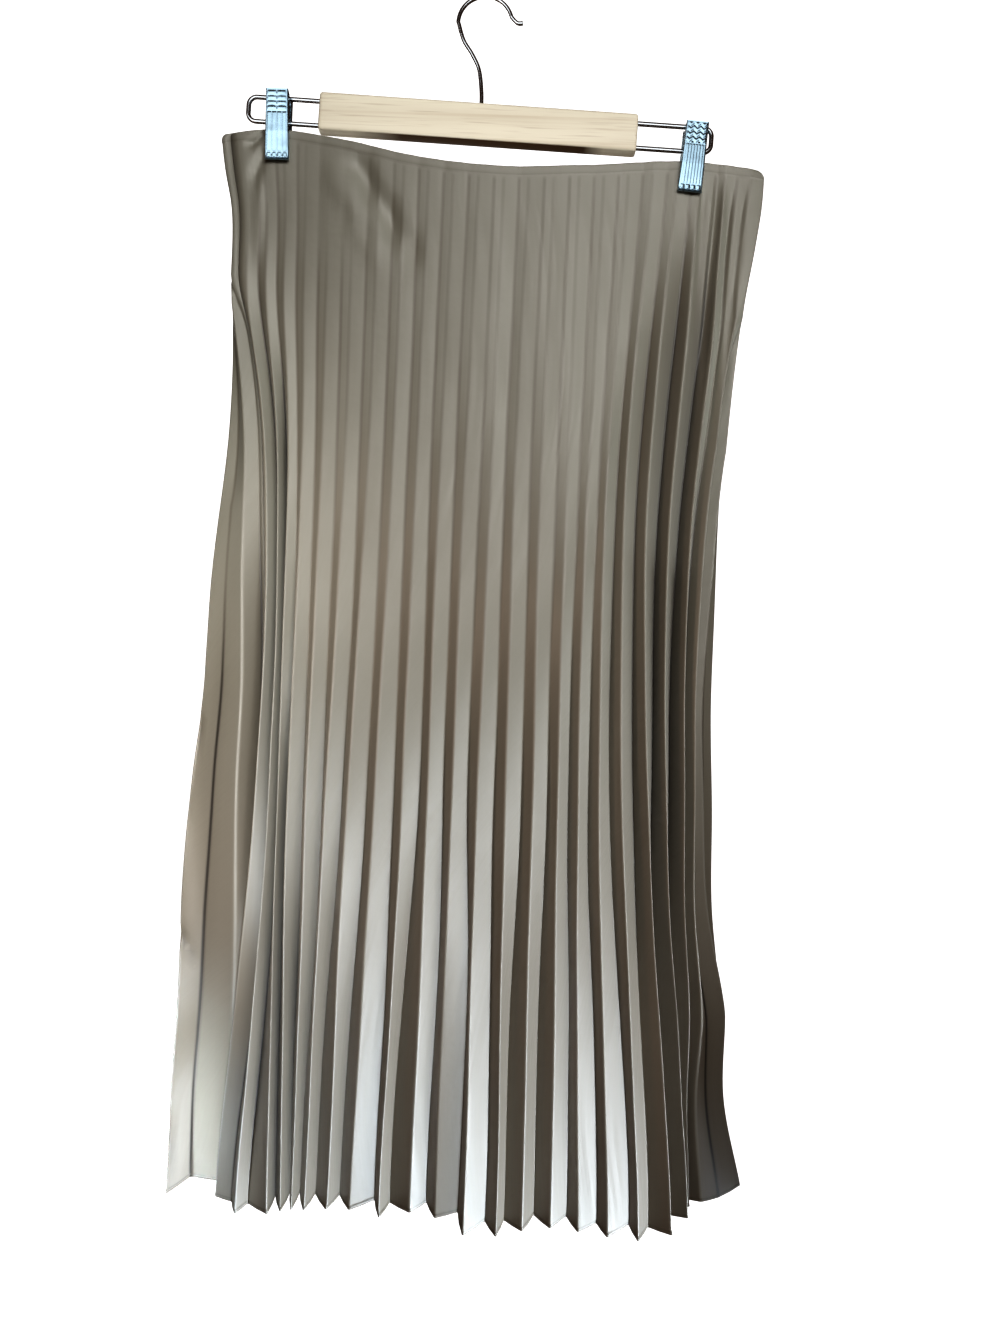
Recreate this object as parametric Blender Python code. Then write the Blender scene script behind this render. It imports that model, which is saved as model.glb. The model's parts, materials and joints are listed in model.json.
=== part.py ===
"""A pleated satin midi skirt, clipped by its waist to a wooden trouser hanger.

The part hangs from its hook. The origin is the point inside the crown of the hook that a rail
touches. X runs along the waist to the viewer's right, Y away from the viewer, and Z up. The cloth
hangs plumb. The hanger is level in its own frame and tilts a little on its hook, right end down.
Sizes are in millimetres and become metres where a mesh is made.
"""

import math
from collections import namedtuple

import bmesh
import bpy
import numpy as np
from mathutils import Euler, Vector

MM = 0.001

# Cloth
WALL = 1.1
SEAM_GAP = 0.3
LAYER_GAP = 0.8
PLEATS = 22
CLOTH_LENGTH = 770.0

# Heights at which the skirt was measured, below the rail
WAIST_Z = -114.0
HIP_Z = -370.0
KNEE_Z = -592.0
HEM_Z = -884.0

# The waist, laid flat on the hanger
WAIST_LEFT = -194.5
WAIST_RIGHT = 211.0
WAIST_GAPE = 5.0

# Hanger, in its own level frame
HANGER_TILT = math.radians(1.9)
BAR_SIZE = (235.0, 12.0, 27.5)
BAR_Z = -93.5
WIRE_DIAMETER = 3.5
WIRE_SPACING = 18.0
LOOP_REACH = 54.0
LOOP_CORNER = 6.0
HOOK_DIAMETER = 3.0
HOOK_RADIUS = 20.0
CLIP_WIDTH = 17.4
CLIP_TOP_Z = -77.0
CLIP_HEIGHT = 54.0
CLIP_PLATE = 1.2
CLIP_X = {"left": -147.5, "right": 160.3}
FIT_GAP = 0.3

# The cut top edge sags between the clips: x and z of points along it
WaistEdge = namedtuple("WaistEdge", "x z")
WAIST_EDGE = (
    WaistEdge(-194.5, -107.5),
    WaistEdge(-160.0, -103.0),
    WaistEdge(-100.0, -110.0),
    WaistEdge(-55.0, -120.0),
    WaistEdge(16.0, -126.8),
    WaistEdge(80.0, -122.5),
    WaistEdge(150.0, -115.7),
    WaistEdge(211.0, -120.0),
)

# Width of one flank of a pleat, from fold to fold, at each height
Flank = namedtuple("Flank", "z width")
FLANKS = (
    Flank(WAIST_Z, 9.25),
    Flank(-222.0, 9.45),
    Flank(HIP_Z, 11.3),
    Flank(KNEE_Z, 17.0),
    Flank(-740.0, 20.5),
    Flank(HEM_Z, 23.0),
)

# The front panel's pleats, left to right: where each ridge lies at hip and knee (x only), and
# where the ridge and the valley to its right lie at the hem, y being negative towards the viewer
FrontPleat = namedtuple("FrontPleat", "hip knee hem_x hem_y valley_x valley_y")
FRONT_PLEATS = (
    FrontPleat(-146, -143, -166, -14, -152, -23),
    FrontPleat(-138, -133, -145, -38, -139, -24),
    FrontPleat(-131, -127, -122, -37, -121, -20),
    FrontPleat(-121, -120, -113, -32, -112, -11),
    FrontPleat(-107, -106, -106, -29, -105, -6),
    FrontPleat(-90, -92, -98, -29, -94, -4),
    FrontPleat(-73, -77, -82, -25, -76, -4),
    FrontPleat(-55, -58, -66, -24, -50, -8),
    FrontPleat(-38, -38, -44, -32, -39, -10),
    FrontPleat(-21, -20, -23, -23, -12, -8),
    FrontPleat(-3, -3, -5, -29, 12, -20),
    FrontPleat(16, 15, 16, -51, 32, -32),
    FrontPleat(33, 35, 39, -51, 45, -30),
    FrontPleat(52, 54, 57, -43, 66, -22),
    FrontPleat(71, 72, 77, -39, 90, -23),
    FrontPleat(86, 86, 96, -44, 111, -32),
    FrontPleat(100, 101, 117, -50, 134, -34),
    FrontPleat(113, 118, 138, -55, 148, -36),
    FrontPleat(129, 137, 163, -46, 161, -21),
    FrontPleat(146, 150, 180, -21, 164, -7),
    FrontPleat(162, 164, 184, -5, 172, 9),
    FrontPleat(173, 173, 192, 2, 206, 8),
)

# The back panel's pleats that wrap round the right and left sides, in order round the skirt
SidePleat = namedtuple(
    "SidePleat", "hip_x hip_y knee_x knee_y hem_x hem_y valley_x valley_y"
)
RIGHT_PLEATS = (
    SidePleat(182, -4, 182, -5, 227, 26, 206, 30),
    SidePleat(185, 8, 192, 12, 214, 50, 200, 33),
)
LEFT_PLEATS = (
    SidePleat(-176, 11, -199, 22, -208, 38, -196, 19),
    SidePleat(-181, -1, -196, -2, -200, -16, -190, 10),
    SidePleat(-163, -12, -157, -24, -158, 3, -153, -9),
)

# Depth of the ridges in front of and behind the hanger's plane, where the panels are not turning
HIP_FRONT, HIP_BACK = -20.0, 20.0
KNEE_FRONT, KNEE_BACK = -34.0, 36.0
HEM_BACK = 47.0

# Rows of the walls, measured down the cloth from the top edge. The first is a pressed flat margin
ROWS = (0, 6, 20, 40, 65, 95, 130, 170, 215, 260, 310, 360, 410, 460, 510, 560, 610, 660, 715, 770)
MARGIN_DEPTH_SHARE = 0.3
GRIPPED_DEPTH = 0.8
CORNER_LOSS = 0.75
SIDE_VALLEYS = [22, 23, 40, 41, 42]
SIDE_BAND = 70.0

# The outline seen from the front: the outermost x on the left and on the right at each height
Outline = namedtuple("Outline", "z left right")
OUTLINE = (
    Outline(-108.0, -194.5, 211.0),
    Outline(-140.0, -190.0, 210.0),
    Outline(-167.0, -184.0, 206.5),
    Outline(-222.0, -181.0, 198.0),
    Outline(-333.0, -180.0, 189.0),
    Outline(-444.0, -189.0, 188.0),
    Outline(-518.0, -192.0, 188.0),
    Outline(-592.0, -201.0, 192.0),
    Outline(-666.0, -206.0, 195.5),
    Outline(-740.0, -206.5, 206.0),
    Outline(-814.0, -209.0, 210.0),
    Outline(-884.0, -209.0, 227.0),
)

# Colour, roughness and metallic value of each finish
Finish = namedtuple("Finish", "colour roughness metallic")
SATIN = Finish((0.26, 0.25, 0.21), 0.42, 0.0)
MAPLE = Finish((0.72, 0.55, 0.36), 0.5, 0.0)
BRIGHT_STEEL = Finish((0.66, 0.68, 0.70), 0.22, 1.0)


def clear_scene():
    """Removes whatever objects the scene holds."""
    for old in list(bpy.data.objects):
        bpy.data.objects.remove(old)


def material(name, finish):
    """A Principled material with one finish."""
    made = bpy.data.materials.new(name)
    made.use_nodes = True
    shader = made.node_tree.nodes["Principled BSDF"]
    shader.inputs["Base Color"].default_value = (*finish.colour, 1.0)
    shader.inputs["Roughness"].default_value = finish.roughness
    shader.inputs["Metallic"].default_value = finish.metallic
    return made


def add_object(name, data, finish, parent=None):
    """Links an object that shows the data in one material."""
    made = bpy.data.objects.new(name, data)
    bpy.context.scene.collection.objects.link(made)
    data.materials.append(finish)
    made.parent = parent
    return made


def smooth(x):
    """The smooth step 3x^2 - 2x^3 of x held between 0 and 1."""
    x = np.clip(x, 0.0, 1.0)
    return x * x * (3.0 - 2.0 * x)


def through(knots, values, at):
    """A cubic through values at rising knots, each slope being that of the chord of its neighbours.

    values may hold several columns, one for each curve, and the curves are read at each of at.
    """
    knots, values, at = (np.asarray(a, float) for a in (knots, values, at))
    slopes = np.gradient(values, knots, axis=0)
    piece = np.clip(np.searchsorted(knots, at) - 1, 0, len(knots) - 2)
    gap = knots[piece + 1] - knots[piece]
    t = np.clip((at - knots[piece]) / gap, 0.0, 1.0)
    shape = (slice(None),) + (None,) * (values.ndim - 1)
    t, gap = t[shape], gap[shape]
    return (
        (2 * t**3 - 3 * t**2 + 1) * values[piece]
        + (t**3 - 2 * t**2 + t) * gap * slopes[piece]
        + (3 * t**2 - 2 * t**3) * values[piece + 1]
        + (t**3 - t**2) * gap * slopes[piece + 1]
    )


def waist_edge_z(x):
    """Height of the skirt's top edge at x."""
    knots = [row.x for row in WAIST_EDGE]
    return through(knots, [row.z for row in WAIST_EDGE], np.clip(x, knots[0], knots[-1]))


def flank_width(z):
    """Width of a pleat's flank at height z."""
    rows = FLANKS[::-1]
    return through([row.z for row in rows], [row.width for row in rows], z)


def clip_grip(x, below, half_width, reach):
    """How firmly a clip holds the cloth flat: 1 under a clip, fading sideways and downwards."""
    held = np.zeros_like(x)
    for name, clip_x in CLIP_X.items():
        centre = clip_x - 3.4
        sideways = np.exp(-(np.maximum(np.abs(x - centre) - 10.0, 0.0) / half_width) ** 2)
        held = np.maximum(held, sideways * (1.0 - smooth((below - 27.0) / reach)))
    return held


def bowed(x, depth, left, right):
    """Depth of a panel's ridges at x: full across the middle and nearly none at its sides."""
    across = (2.0 * x - left - right) / (right - left)
    return depth * (1.0 - np.abs(across) ** 6)


def ridge_stations():
    """x and y of all the ridges at waist, hip, knee and hem, in order round the skirt.

    The order is the front from left to right, the right side, the back from right to left, and
    the left side. Each station is an array with a row for each ridge.
    """
    pitch = (WAIST_RIGHT - WAIST_LEFT) / PLEATS
    places = WAIST_LEFT + pitch * (np.arange(PLEATS) + 0.5)
    waist = np.concatenate(
        [
            np.column_stack([places, np.full(PLEATS, -1.0)]),
            np.column_stack([places[::-1], np.full(PLEATS, 1.0)]),
        ]
    )
    hip_x = np.array([row.hip for row in FRONT_PLEATS], float)
    knee_x = np.array([row.knee for row in FRONT_PLEATS], float)
    hip = np.column_stack([hip_x, bowed(hip_x, HIP_FRONT, -192.0, 196.0)])
    knee = np.column_stack([knee_x, bowed(knee_x, KNEE_FRONT, -206.0, 202.0)])
    hem = np.array([(row.hem_x, row.hem_y) for row in FRONT_PLEATS], float)
    sides = {}
    for name, rows in (("right", RIGHT_PLEATS), ("left", LEFT_PLEATS)):
        sides[name] = (
            np.array([(row.hip_x, row.hip_y) for row in rows], float),
            np.array([(row.knee_x, row.knee_y) for row in rows], float),
            np.array([(row.hem_x, row.hem_y) for row in rows], float),
        )
    middle = PLEATS - len(RIGHT_PLEATS) - len(LEFT_PLEATS)
    stations = [waist]
    for number, front, depth in ((0, hip, HIP_BACK), (1, knee, KNEE_BACK), (2, hem, HEM_BACK)):
        right, left = sides["right"][number], sides["left"][number]
        step = (np.arange(middle) + 1.0) / (middle + 1.0)
        uneven = 0.25 * np.sin(2.3 * np.arange(middle) + number) / (middle + 1.0)
        back_x = right[-1, 0] + (left[0, 0] - right[-1, 0]) * (step + uneven)
        back_y = depth + 0.08 * depth * np.sin(0.9 * np.arange(middle) + 2.0 * number)
        edge = np.minimum(step, 1.0 - step)
        turn = smooth(edge / 0.12)
        end_y = np.where(step < 0.5, right[-1, 1], left[0, 1])
        back = np.column_stack([back_x, end_y + (back_y - end_y) * turn])
        stations.append(np.concatenate([front, right, back, left]))
    return stations


def hem_valley_offsets(hem):
    """From the middle of each pair of ridges to the valley between them, at the hem.

    Read from the tables for the front and sides. At the back the valley lies straight inwards.
    """
    following = np.roll(hem, -1, axis=0)
    middle = (hem + following) / 2.0
    inward = straight_inward(hem, flank_width(np.array([HEM_Z]))[0])
    tables = {0: FRONT_PLEATS, PLEATS: RIGHT_PLEATS, 2 * PLEATS - len(LEFT_PLEATS): LEFT_PLEATS}
    for first, rows in tables.items():
        for number, row in enumerate(rows):
            valley = np.array([row.valley_x, row.valley_y], float)
            inward[first + number] = valley - middle[first + number]
    return inward


def straight_inward(ridges, width, least=0.3):
    """From the middle of each pair of ridges, the way inwards to a valley whose two flanks both
    have the given width: the height of a triangle with sides width, width and the ridges' gap.
    Where the ridges turn a corner, the valleys on both sides of it are shallower, by CORNER_LOSS
    for a quarter turn, so that they stay apart."""
    chord = np.roll(ridges, -1, axis=0) - ridges
    length = np.maximum(np.linalg.norm(chord, axis=1), 1e-6)
    height = np.sqrt(np.maximum(width**2 - (length / 2.0) ** 2, least**2))
    normal = np.column_stack([-chord[:, 1], chord[:, 0]]) / length[:, None]
    before = np.roll(chord, 1, axis=0)
    sine = before[:, 0] * chord[:, 1] - before[:, 1] * chord[:, 0]
    turn = np.arctan2(sine, np.sum(before * chord, axis=1)) / (math.pi / 2.0)
    corner = np.clip(np.maximum(turn, np.roll(turn, -1)) - 0.2, 0.0, 1.0)
    return normal * (height * (1.0 - CORNER_LOSS * corner))[:, None]


def fold_lines(rows_down):
    """Every fold's x, y and z at each row: an array of rows, folds and the three coordinates.

    Folds alternate ridge and valley round the skirt, from the front's leftmost ridge.
    """
    waist, hip, knee, hem = ridge_stations()
    hem_offsets = hem_valley_offsets(hem)
    heights = (HEM_Z, KNEE_Z, HIP_Z, WAIST_Z)
    curves = np.stack([hem, knee, hip, waist])
    share_down = np.asarray(rows_down, float) / CLOTH_LENGTH
    nominal_z = WAIST_Z + (HEM_Z - WAIST_Z) * share_down
    ridge_rows = through(heights, curves, nominal_z)
    side = np.repeat([-1.0, 1.0], PLEATS)
    clip_span = (CLIP_X["right"] - CLIP_X["left"]) / 2.0
    clip_middle = (CLIP_X["right"] + CLIP_X["left"]) / 2.0 - 3.4
    lines = np.zeros((len(nominal_z), 4 * PLEATS, 3))
    for row, z in enumerate(nominal_z):
        below = float(rows_down[row])
        ridges = ridge_rows[row].copy()
        x = ridges[:, 0]
        width = flank_width(np.array([z]))[0]
        offsets = straight_inward(ridges, width)
        depth = np.linalg.norm(offsets, axis=1)
        depth = np.maximum(depth, np.roll(depth, 1))
        stretched = 0.65 * np.exp(-(((x + 135.0) / 55.0) ** 2)) * (1.0 - smooth((below - 60.0) / 60.0))
        flatness = MARGIN_DEPTH_SHARE if row == 0 else 1.0
        shallow = flatness * (1.0 - stretched)
        # Next to the waist the two layers lie flat on each other, and gape between the clips
        gape = WAIST_GAPE * np.cos(np.clip((x - clip_middle) / clip_span, -1.0, 1.0) * math.pi / 2.0) ** 2
        hold = clip_grip(x, np.full_like(x, below), 24.0, 70.0)
        flat_y = side * (LAYER_GAP / 2.0 + WALL / 2.0 + np.minimum(depth, GRIPPED_DEPTH) * shallow)
        open_y = flat_y + side * gape + (ridges[:, 1] - side * 1.0)
        ridges[:, 1] = open_y * (1.0 - hold) + flat_y * hold
        offsets = straight_inward(ridges, width) * shallow[:, None]
        flat_cap = np.minimum(1.0, GRIPPED_DEPTH / np.maximum(np.linalg.norm(offsets, axis=1), 1e-6))
        offsets *= (1.0 - hold + hold * flat_cap)[:, None]
        # Between waist and hip the cloth wraps smoothly round each side
        wrapped = 0.92 * math.exp(-(((below - 138.0) / 50.0) ** 2))
        offsets[SIDE_VALLEYS] *= 1.0 - wrapped
        low = smooth((KNEE_Z - z) / (KNEE_Z - HEM_Z))
        offsets = offsets * (1.0 - low) + hem_offsets * low
        middle = (ridges + np.roll(ridges, -1, axis=0)) / 2.0
        valleys = middle + offsets
        # At the two sides of the flat waist the cloth turns round the outermost fold
        for number, turn_x in ((PLEATS - 1, WAIST_RIGHT), (2 * PLEATS - 1, WAIST_LEFT)):
            turning = 1.0 - smooth((below - 20.0) / 130.0)
            turn_y = -0.09 * max(below - 25.0, 0.0)
            valleys[number] = valleys[number] * (1.0 - turning) + np.array([turn_x, turn_y]) * turning
        # Near the waist neither layer reaches the other
        near_waist = 1.0 - smooth((below - 45.0) / 60.0)
        least_y = (LAYER_GAP + WALL) * 0.65 * near_waist - 30.0 * (1.0 - near_waist)
        turns = np.isin(np.arange(2 * PLEATS), (PLEATS - 1, 2 * PLEATS - 1))
        ridges[:, 1] = side * np.maximum(side * ridges[:, 1], least_y)
        kept = side * np.maximum(side * valleys[:, 1], least_y)
        valleys[:, 1] = np.where(turns, valleys[:, 1], kept)
        lines[row, 0::2, :2] = ridges
        lines[row, 1::2, :2] = valleys
        lines[row, :, :2] = fit_outline(lines[row, :, :2], z)
        edge = waist_edge_z(lines[row, :, 0])
        lines[row, :, 2] = edge + (HEM_Z - edge) * share_down[row]
    return lines


def fit_outline(line, z):
    """Moves the folds near each side so that the outermost one lies on the measured outline.

    The whole error is taken at the side, and it fades out over SIDE_BAND towards the middle.
    """
    rows = OUTLINE[::-1]
    heights = [row.z for row in rows]
    half_wall = WALL / 2.0
    for sign, column in ((-1.0, "left"), (1.0, "right")):
        target = through(heights, [getattr(row, column) for row in rows], np.array([z]))[0]
        now = sign * np.max(sign * line[:, 0])
        error = target - sign * half_wall - now
        share = smooth(1.0 - sign * (now - line[:, 0]) / SIDE_BAND)
        line[:, 0] += error * share
    return line


def wall_offsets(line):
    """Half the wall's thickness, mitred at each fold, across a closed run of folds seen from above.

    At a fold between unit directions a and b, the mitre points along the sum of their normals and
    its length is the half thickness divided by the cosine of half the turn.
    """
    ahead = np.roll(line, -1, axis=0) - line
    ahead /= np.maximum(np.linalg.norm(ahead, axis=1), 1e-9)[:, None]
    behind = np.roll(ahead, 1, axis=0)
    normal = np.column_stack([ahead[:, 1], -ahead[:, 0]])
    before = np.column_stack([behind[:, 1], -behind[:, 0]])
    both = normal + before
    length = np.maximum(np.linalg.norm(both, axis=1), 1e-9)
    both /= length[:, None]
    mitre = (WALL / 2.0) / np.maximum(np.sum(both * normal, axis=1), 0.2)
    return both * mitre[:, None]


def panel_columns(lines, first, last):
    """Outer and inner faces of a panel from the middle of one flank to the middle of another.

    first and last number the folds that start those two flanks. The panel's ends stand back from
    the seams by half the seam gap.
    """
    folds = lines.shape[1]
    outer, inner = lines.copy(), lines.copy()
    for row in range(lines.shape[0]):
        offset = wall_offsets(lines[row, :, :2])
        outer[row, :, :2] += offset
        inner[row, :, :2] -= offset
    numbers = [n % folds for n in range(first + 1, last + 1)]

    def seam(face, fold, forward):
        start, end = lines[:, fold % folds], lines[:, (fold + 1) % folds]
        along = end - start
        across = np.column_stack([along[:, 1], -along[:, 0]])
        across /= np.maximum(np.linalg.norm(across, axis=1), 1e-9)[:, None]
        unit = along / np.linalg.norm(along, axis=1)[:, None]
        middle = (start + end) / 2.0 + unit * (SEAM_GAP / 2.0) * forward
        middle[:, :2] += across * (WALL / 2.0) * face
        return middle[:, None, :]

    return (
        np.concatenate([seam(1.0, first, 1.0), outer[:, numbers], seam(1.0, last, -1.0)], axis=1),
        np.concatenate([seam(-1.0, first, 1.0), inner[:, numbers], seam(-1.0, last, -1.0)], axis=1),
    )


def closed_wall(outer, inner):
    """A closed mesh's points and triangles from the two faces of a wall, each rows by columns."""
    rows, columns = outer.shape[:2]
    points = np.concatenate([outer.reshape(-1, 3), inner.reshape(-1, 3)]) * MM
    index = np.arange(rows * columns).reshape(rows, columns)
    under = index + rows * columns

    def strip(a, b, c, d):
        a, b, c, d = (np.ravel(k) for k in (a, b, c, d))
        return np.concatenate([np.column_stack([a, b, c]), np.column_stack([a, c, d])])

    faces = [
        strip(index[1:, :-1], index[1:, 1:], index[:-1, 1:], index[:-1, :-1]),
        strip(under[1:, :-1], under[:-1, :-1], under[:-1, 1:], under[1:, 1:]),
        strip(index[0, :-1], index[0, 1:], under[0, 1:], under[0, :-1]),
        strip(index[-1, 1:], index[-1, :-1], under[-1, :-1], under[-1, 1:]),
        strip(index[1:, 0], index[:-1, 0], under[:-1, 0], under[1:, 0]),
        strip(index[1:, -1], under[1:, -1], under[:-1, -1], index[:-1, -1]),
    ]
    return points, np.concatenate(faces)


def add_panel(name, lines, first, last, finish):
    """One pleated width of the skirt as a closed wall."""
    outer, inner = panel_columns(lines, first, last)
    points, faces = closed_wall(outer, inner)
    mesh = bpy.data.meshes.new(name)
    mesh.from_pydata(points.tolist(), [], faces.tolist())
    mesh.validate()
    return add_object(name, mesh, finish)


def rounded_box(name, size, centre, bevel, finish, parent):
    """A box with its edges rounded by a Bevel modifier."""
    mesh = bpy.data.meshes.new(name)
    shape = bmesh.new()
    bmesh.ops.create_cube(shape, size=1.0)
    bmesh.ops.scale(shape, vec=Vector(size) * MM, verts=shape.verts)
    shape.to_mesh(mesh)
    shape.free()
    made = add_object(name, mesh, finish, parent)
    made.location = Vector(centre) * MM
    rounding = made.modifiers.new("rounding", "BEVEL")
    rounding.width = bevel * MM
    rounding.segments = 3
    return made


def add_wire(name, points, diameter, finish, parent):
    """A round wire bent through the points."""
    curve = bpy.data.curves.new(name, "CURVE")
    curve.dimensions = "3D"
    curve.bevel_depth = diameter / 2.0 * MM
    curve.bevel_resolution = 3
    curve.use_fill_caps = True
    spline = curve.splines.new("POLY")
    spline.points.add(len(points) - 1)
    for point, place in zip(spline.points, points):
        point.co = (*(Vector(place) * MM), 1.0)
    return add_object(name, curve, finish, parent)


def arc(centre_x, centre_z, radius, start, end, steps):
    """Points on an arc in the hanger's plane, angles in degrees from +X towards +Z."""
    angles = np.radians(np.linspace(start, end, steps))
    return [(centre_x + radius * math.cos(a), 0.0, centre_z + radius * math.sin(a)) for a in angles]


def hook_points():
    """The hook's centre line: up the stem, out round the neck, over the crown and out at the tip."""
    crown_z = -HOOK_RADIUS + HOOK_DIAMETER / 2.0
    bar_top = BAR_Z + BAR_SIZE[2] / 2.0 + FIT_GAP
    stem = [(1.5, bar_top), (0.6, -68.0), (-2.2, -53.0), (-8.0, -42.0), (-15.0, -32.0)]
    knots = np.arange(len(stem) + 1, dtype=float)
    stem.append((-HOOK_RADIUS, crown_z))
    path = through(knots, np.array(stem, float), np.linspace(0.0, knots[-1], 16))
    points = [(float(x), 0.0, float(z)) for x, z in path]
    points += arc(0.0, crown_z, HOOK_RADIUS, 180.0, 18.0, 16)[1:]
    points += [(21.2, 0.0, -14.6), (24.0, 0.0, -16.6), (27.5, 0.0, -16.4)]
    return points


def loop_points(side):
    """A side loop's centre line, from one hole in the bar's end to the other."""
    start = side * (BAR_SIZE[0] / 2.0 + FIT_GAP)
    far = side * (BAR_SIZE[0] / 2.0 + LOOP_REACH - WIRE_DIAMETER / 2.0 - LOOP_CORNER)
    upper, lower = BAR_Z + WIRE_SPACING / 2.0, BAR_Z - WIRE_SPACING / 2.0
    outward = (90.0, 0.0) if side > 0 else (90.0, 180.0)
    downward = (0.0, -90.0) if side > 0 else (180.0, 270.0)
    points = [(start, 0.0, upper), (start + side * 15.0, 0.0, upper)]
    points += arc(far, upper - LOOP_CORNER, LOOP_CORNER, *outward, 6)
    points += arc(far, lower + LOOP_CORNER, LOOP_CORNER, *downward, 6)
    points += [(start + side * 15.0, 0.0, lower), (start, 0.0, lower)]
    return points


# A clip jaw seen from its side: height below the clip's top and distance of the plate's middle
# from the hanger's plane, then how deep its side flanges reach there (0 where there are none)
JawRow = namedtuple("JawRow", "down out flange")
JAW_ROWS = (
    JawRow(0.0, 9.8, 0.0),
    JawRow(2.0, 9.6, 4.5),
    JawRow(12.0, 8.4, 5.4),
    JawRow(19.0, 7.7, 4.8),
    JawRow(34.0, 6.6, 3.9),
    JawRow(45.0, 5.2, 1.4),
    JawRow(51.0, 3.9, 0.0),
    JawRow(54.0, 5.2, 0.0),
)
LIP_INNER = 3.2
EAR_TOP, EAR_BOTTOM = 14.0, 19.5


def jaw_mesh(name, width, side):
    """One jaw as a bent channel: a plate with a flange along each edge and an ear at the pivot.

    side is -1 for the jaw nearer the viewer and 1 for the one behind.
    """
    half = width / 2.0
    rows = []
    for row in JAW_ROWS:
        front = row.out + CLIP_PLATE / 2.0
        plate = row.out - CLIP_PLATE / 2.0
        back = plate - row.flange
        rows.append((row.down, front, plate, back))
    shape = bmesh.new()
    rings = []
    for down, front, plate, back in rows:
        inside = half - CLIP_PLATE
        outline = [
            (-half, front), (half, front), (half, min(back, plate - 0.01)),
            (inside, min(back, plate - 0.01)), (inside, plate), (-inside, plate),
            (-inside, min(back, plate - 0.01)), (-half, min(back, plate - 0.01)),
        ]
        rings.append([shape.verts.new((x, side * y, -down)) for x, y in outline])
    count = len(rings[0])
    for upper, lower in zip(rings, rings[1:]):
        for n in range(count):
            shape.faces.new((upper[n], upper[(n + 1) % count], lower[(n + 1) % count], lower[n]))
    for ring in (rings[0], rings[-1]):
        shape.faces.new((ring[0], ring[1], ring[4], ring[5]))
        shape.faces.new((ring[1], ring[2], ring[3], ring[4]))
        shape.faces.new((ring[5], ring[6], ring[7], ring[0]))
    bmesh.ops.scale(shape, vec=(MM, MM, MM), verts=shape.verts)
    bmesh.ops.recalc_face_normals(shape, faces=shape.faces)
    mesh = bpy.data.meshes.new(name)
    shape.to_mesh(mesh)
    shape.free()
    return mesh


def add_clip(name, x, steel, hanger):
    """A spring clip: two jaws, and the spring barrel between them on which they rock."""
    place = Vector((x, 0.0, CLIP_TOP_Z)) * MM
    for jaw, side in (("front_jaw", -1.0), ("back_jaw", 1.0)):
        label = f"{name}_{jaw}"
        made = add_object(label, jaw_mesh(label, CLIP_WIDTH, side), steel, hanger)
        made.location = place
    barrel = bpy.data.meshes.new(f"{name}_spring")
    shape = bmesh.new()
    bmesh.ops.create_cone(
        shape, cap_ends=True, segments=16, radius1=2.6 * MM, radius2=2.6 * MM,
        depth=(CLIP_WIDTH - 2.0 * CLIP_PLATE - 2.0 * FIT_GAP) * MM,
    )
    shape.to_mesh(barrel)
    shape.free()
    spring = add_object(f"{name}_spring", barrel, steel, hanger)
    spring.location = Vector((x, 0.0, BAR_Z)) * MM
    spring.rotation_euler = (0.0, math.radians(90.0), 0.0)


def build():
    """Builds the skirt and its hanger."""
    clear_scene()
    satin = material("taupe_satin", SATIN)
    maple = material("pale_maple", MAPLE)
    steel = material("bright_steel", BRIGHT_STEEL)
    hanger = bpy.data.objects.new("hanger", None)
    bpy.context.scene.collection.objects.link(hanger)
    hanger.rotation_euler = Euler((0.0, HANGER_TILT, 0.0))

    lines = fold_lines(ROWS)
    folds = 4 * PLEATS
    right_seam, left_seam = 2 * PLEATS, folds - 1
    add_panel("front_panel", lines, left_seam - folds, right_seam, satin)
    add_panel("back_panel", lines, right_seam, left_seam, satin)

    rounded_box("wooden_bar", BAR_SIZE, (0.0, 0.0, BAR_Z), 2.0, maple, hanger)
    add_wire("hook", hook_points(), HOOK_DIAMETER, steel, hanger)
    add_wire("left_loop", loop_points(-1), WIRE_DIAMETER, steel, hanger)
    add_wire("right_loop", loop_points(1), WIRE_DIAMETER, steel, hanger)
    for side, x in CLIP_X.items():
        add_clip(f"{side}_clip", x, steel, hanger)


build()
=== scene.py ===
"""A pleated taupe satin skirt on a wooden clip hanger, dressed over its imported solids.

The cloth is worked out in millimetres from the places of its folds at four heights, and each panel
is a thin shell on that form. The hanger's pieces are worked out level and then tilted on the hook.
"""

import json
import math
from collections import namedtuple

import bmesh
import bpy
import numpy as np
from mathutils import Matrix, Vector

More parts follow.
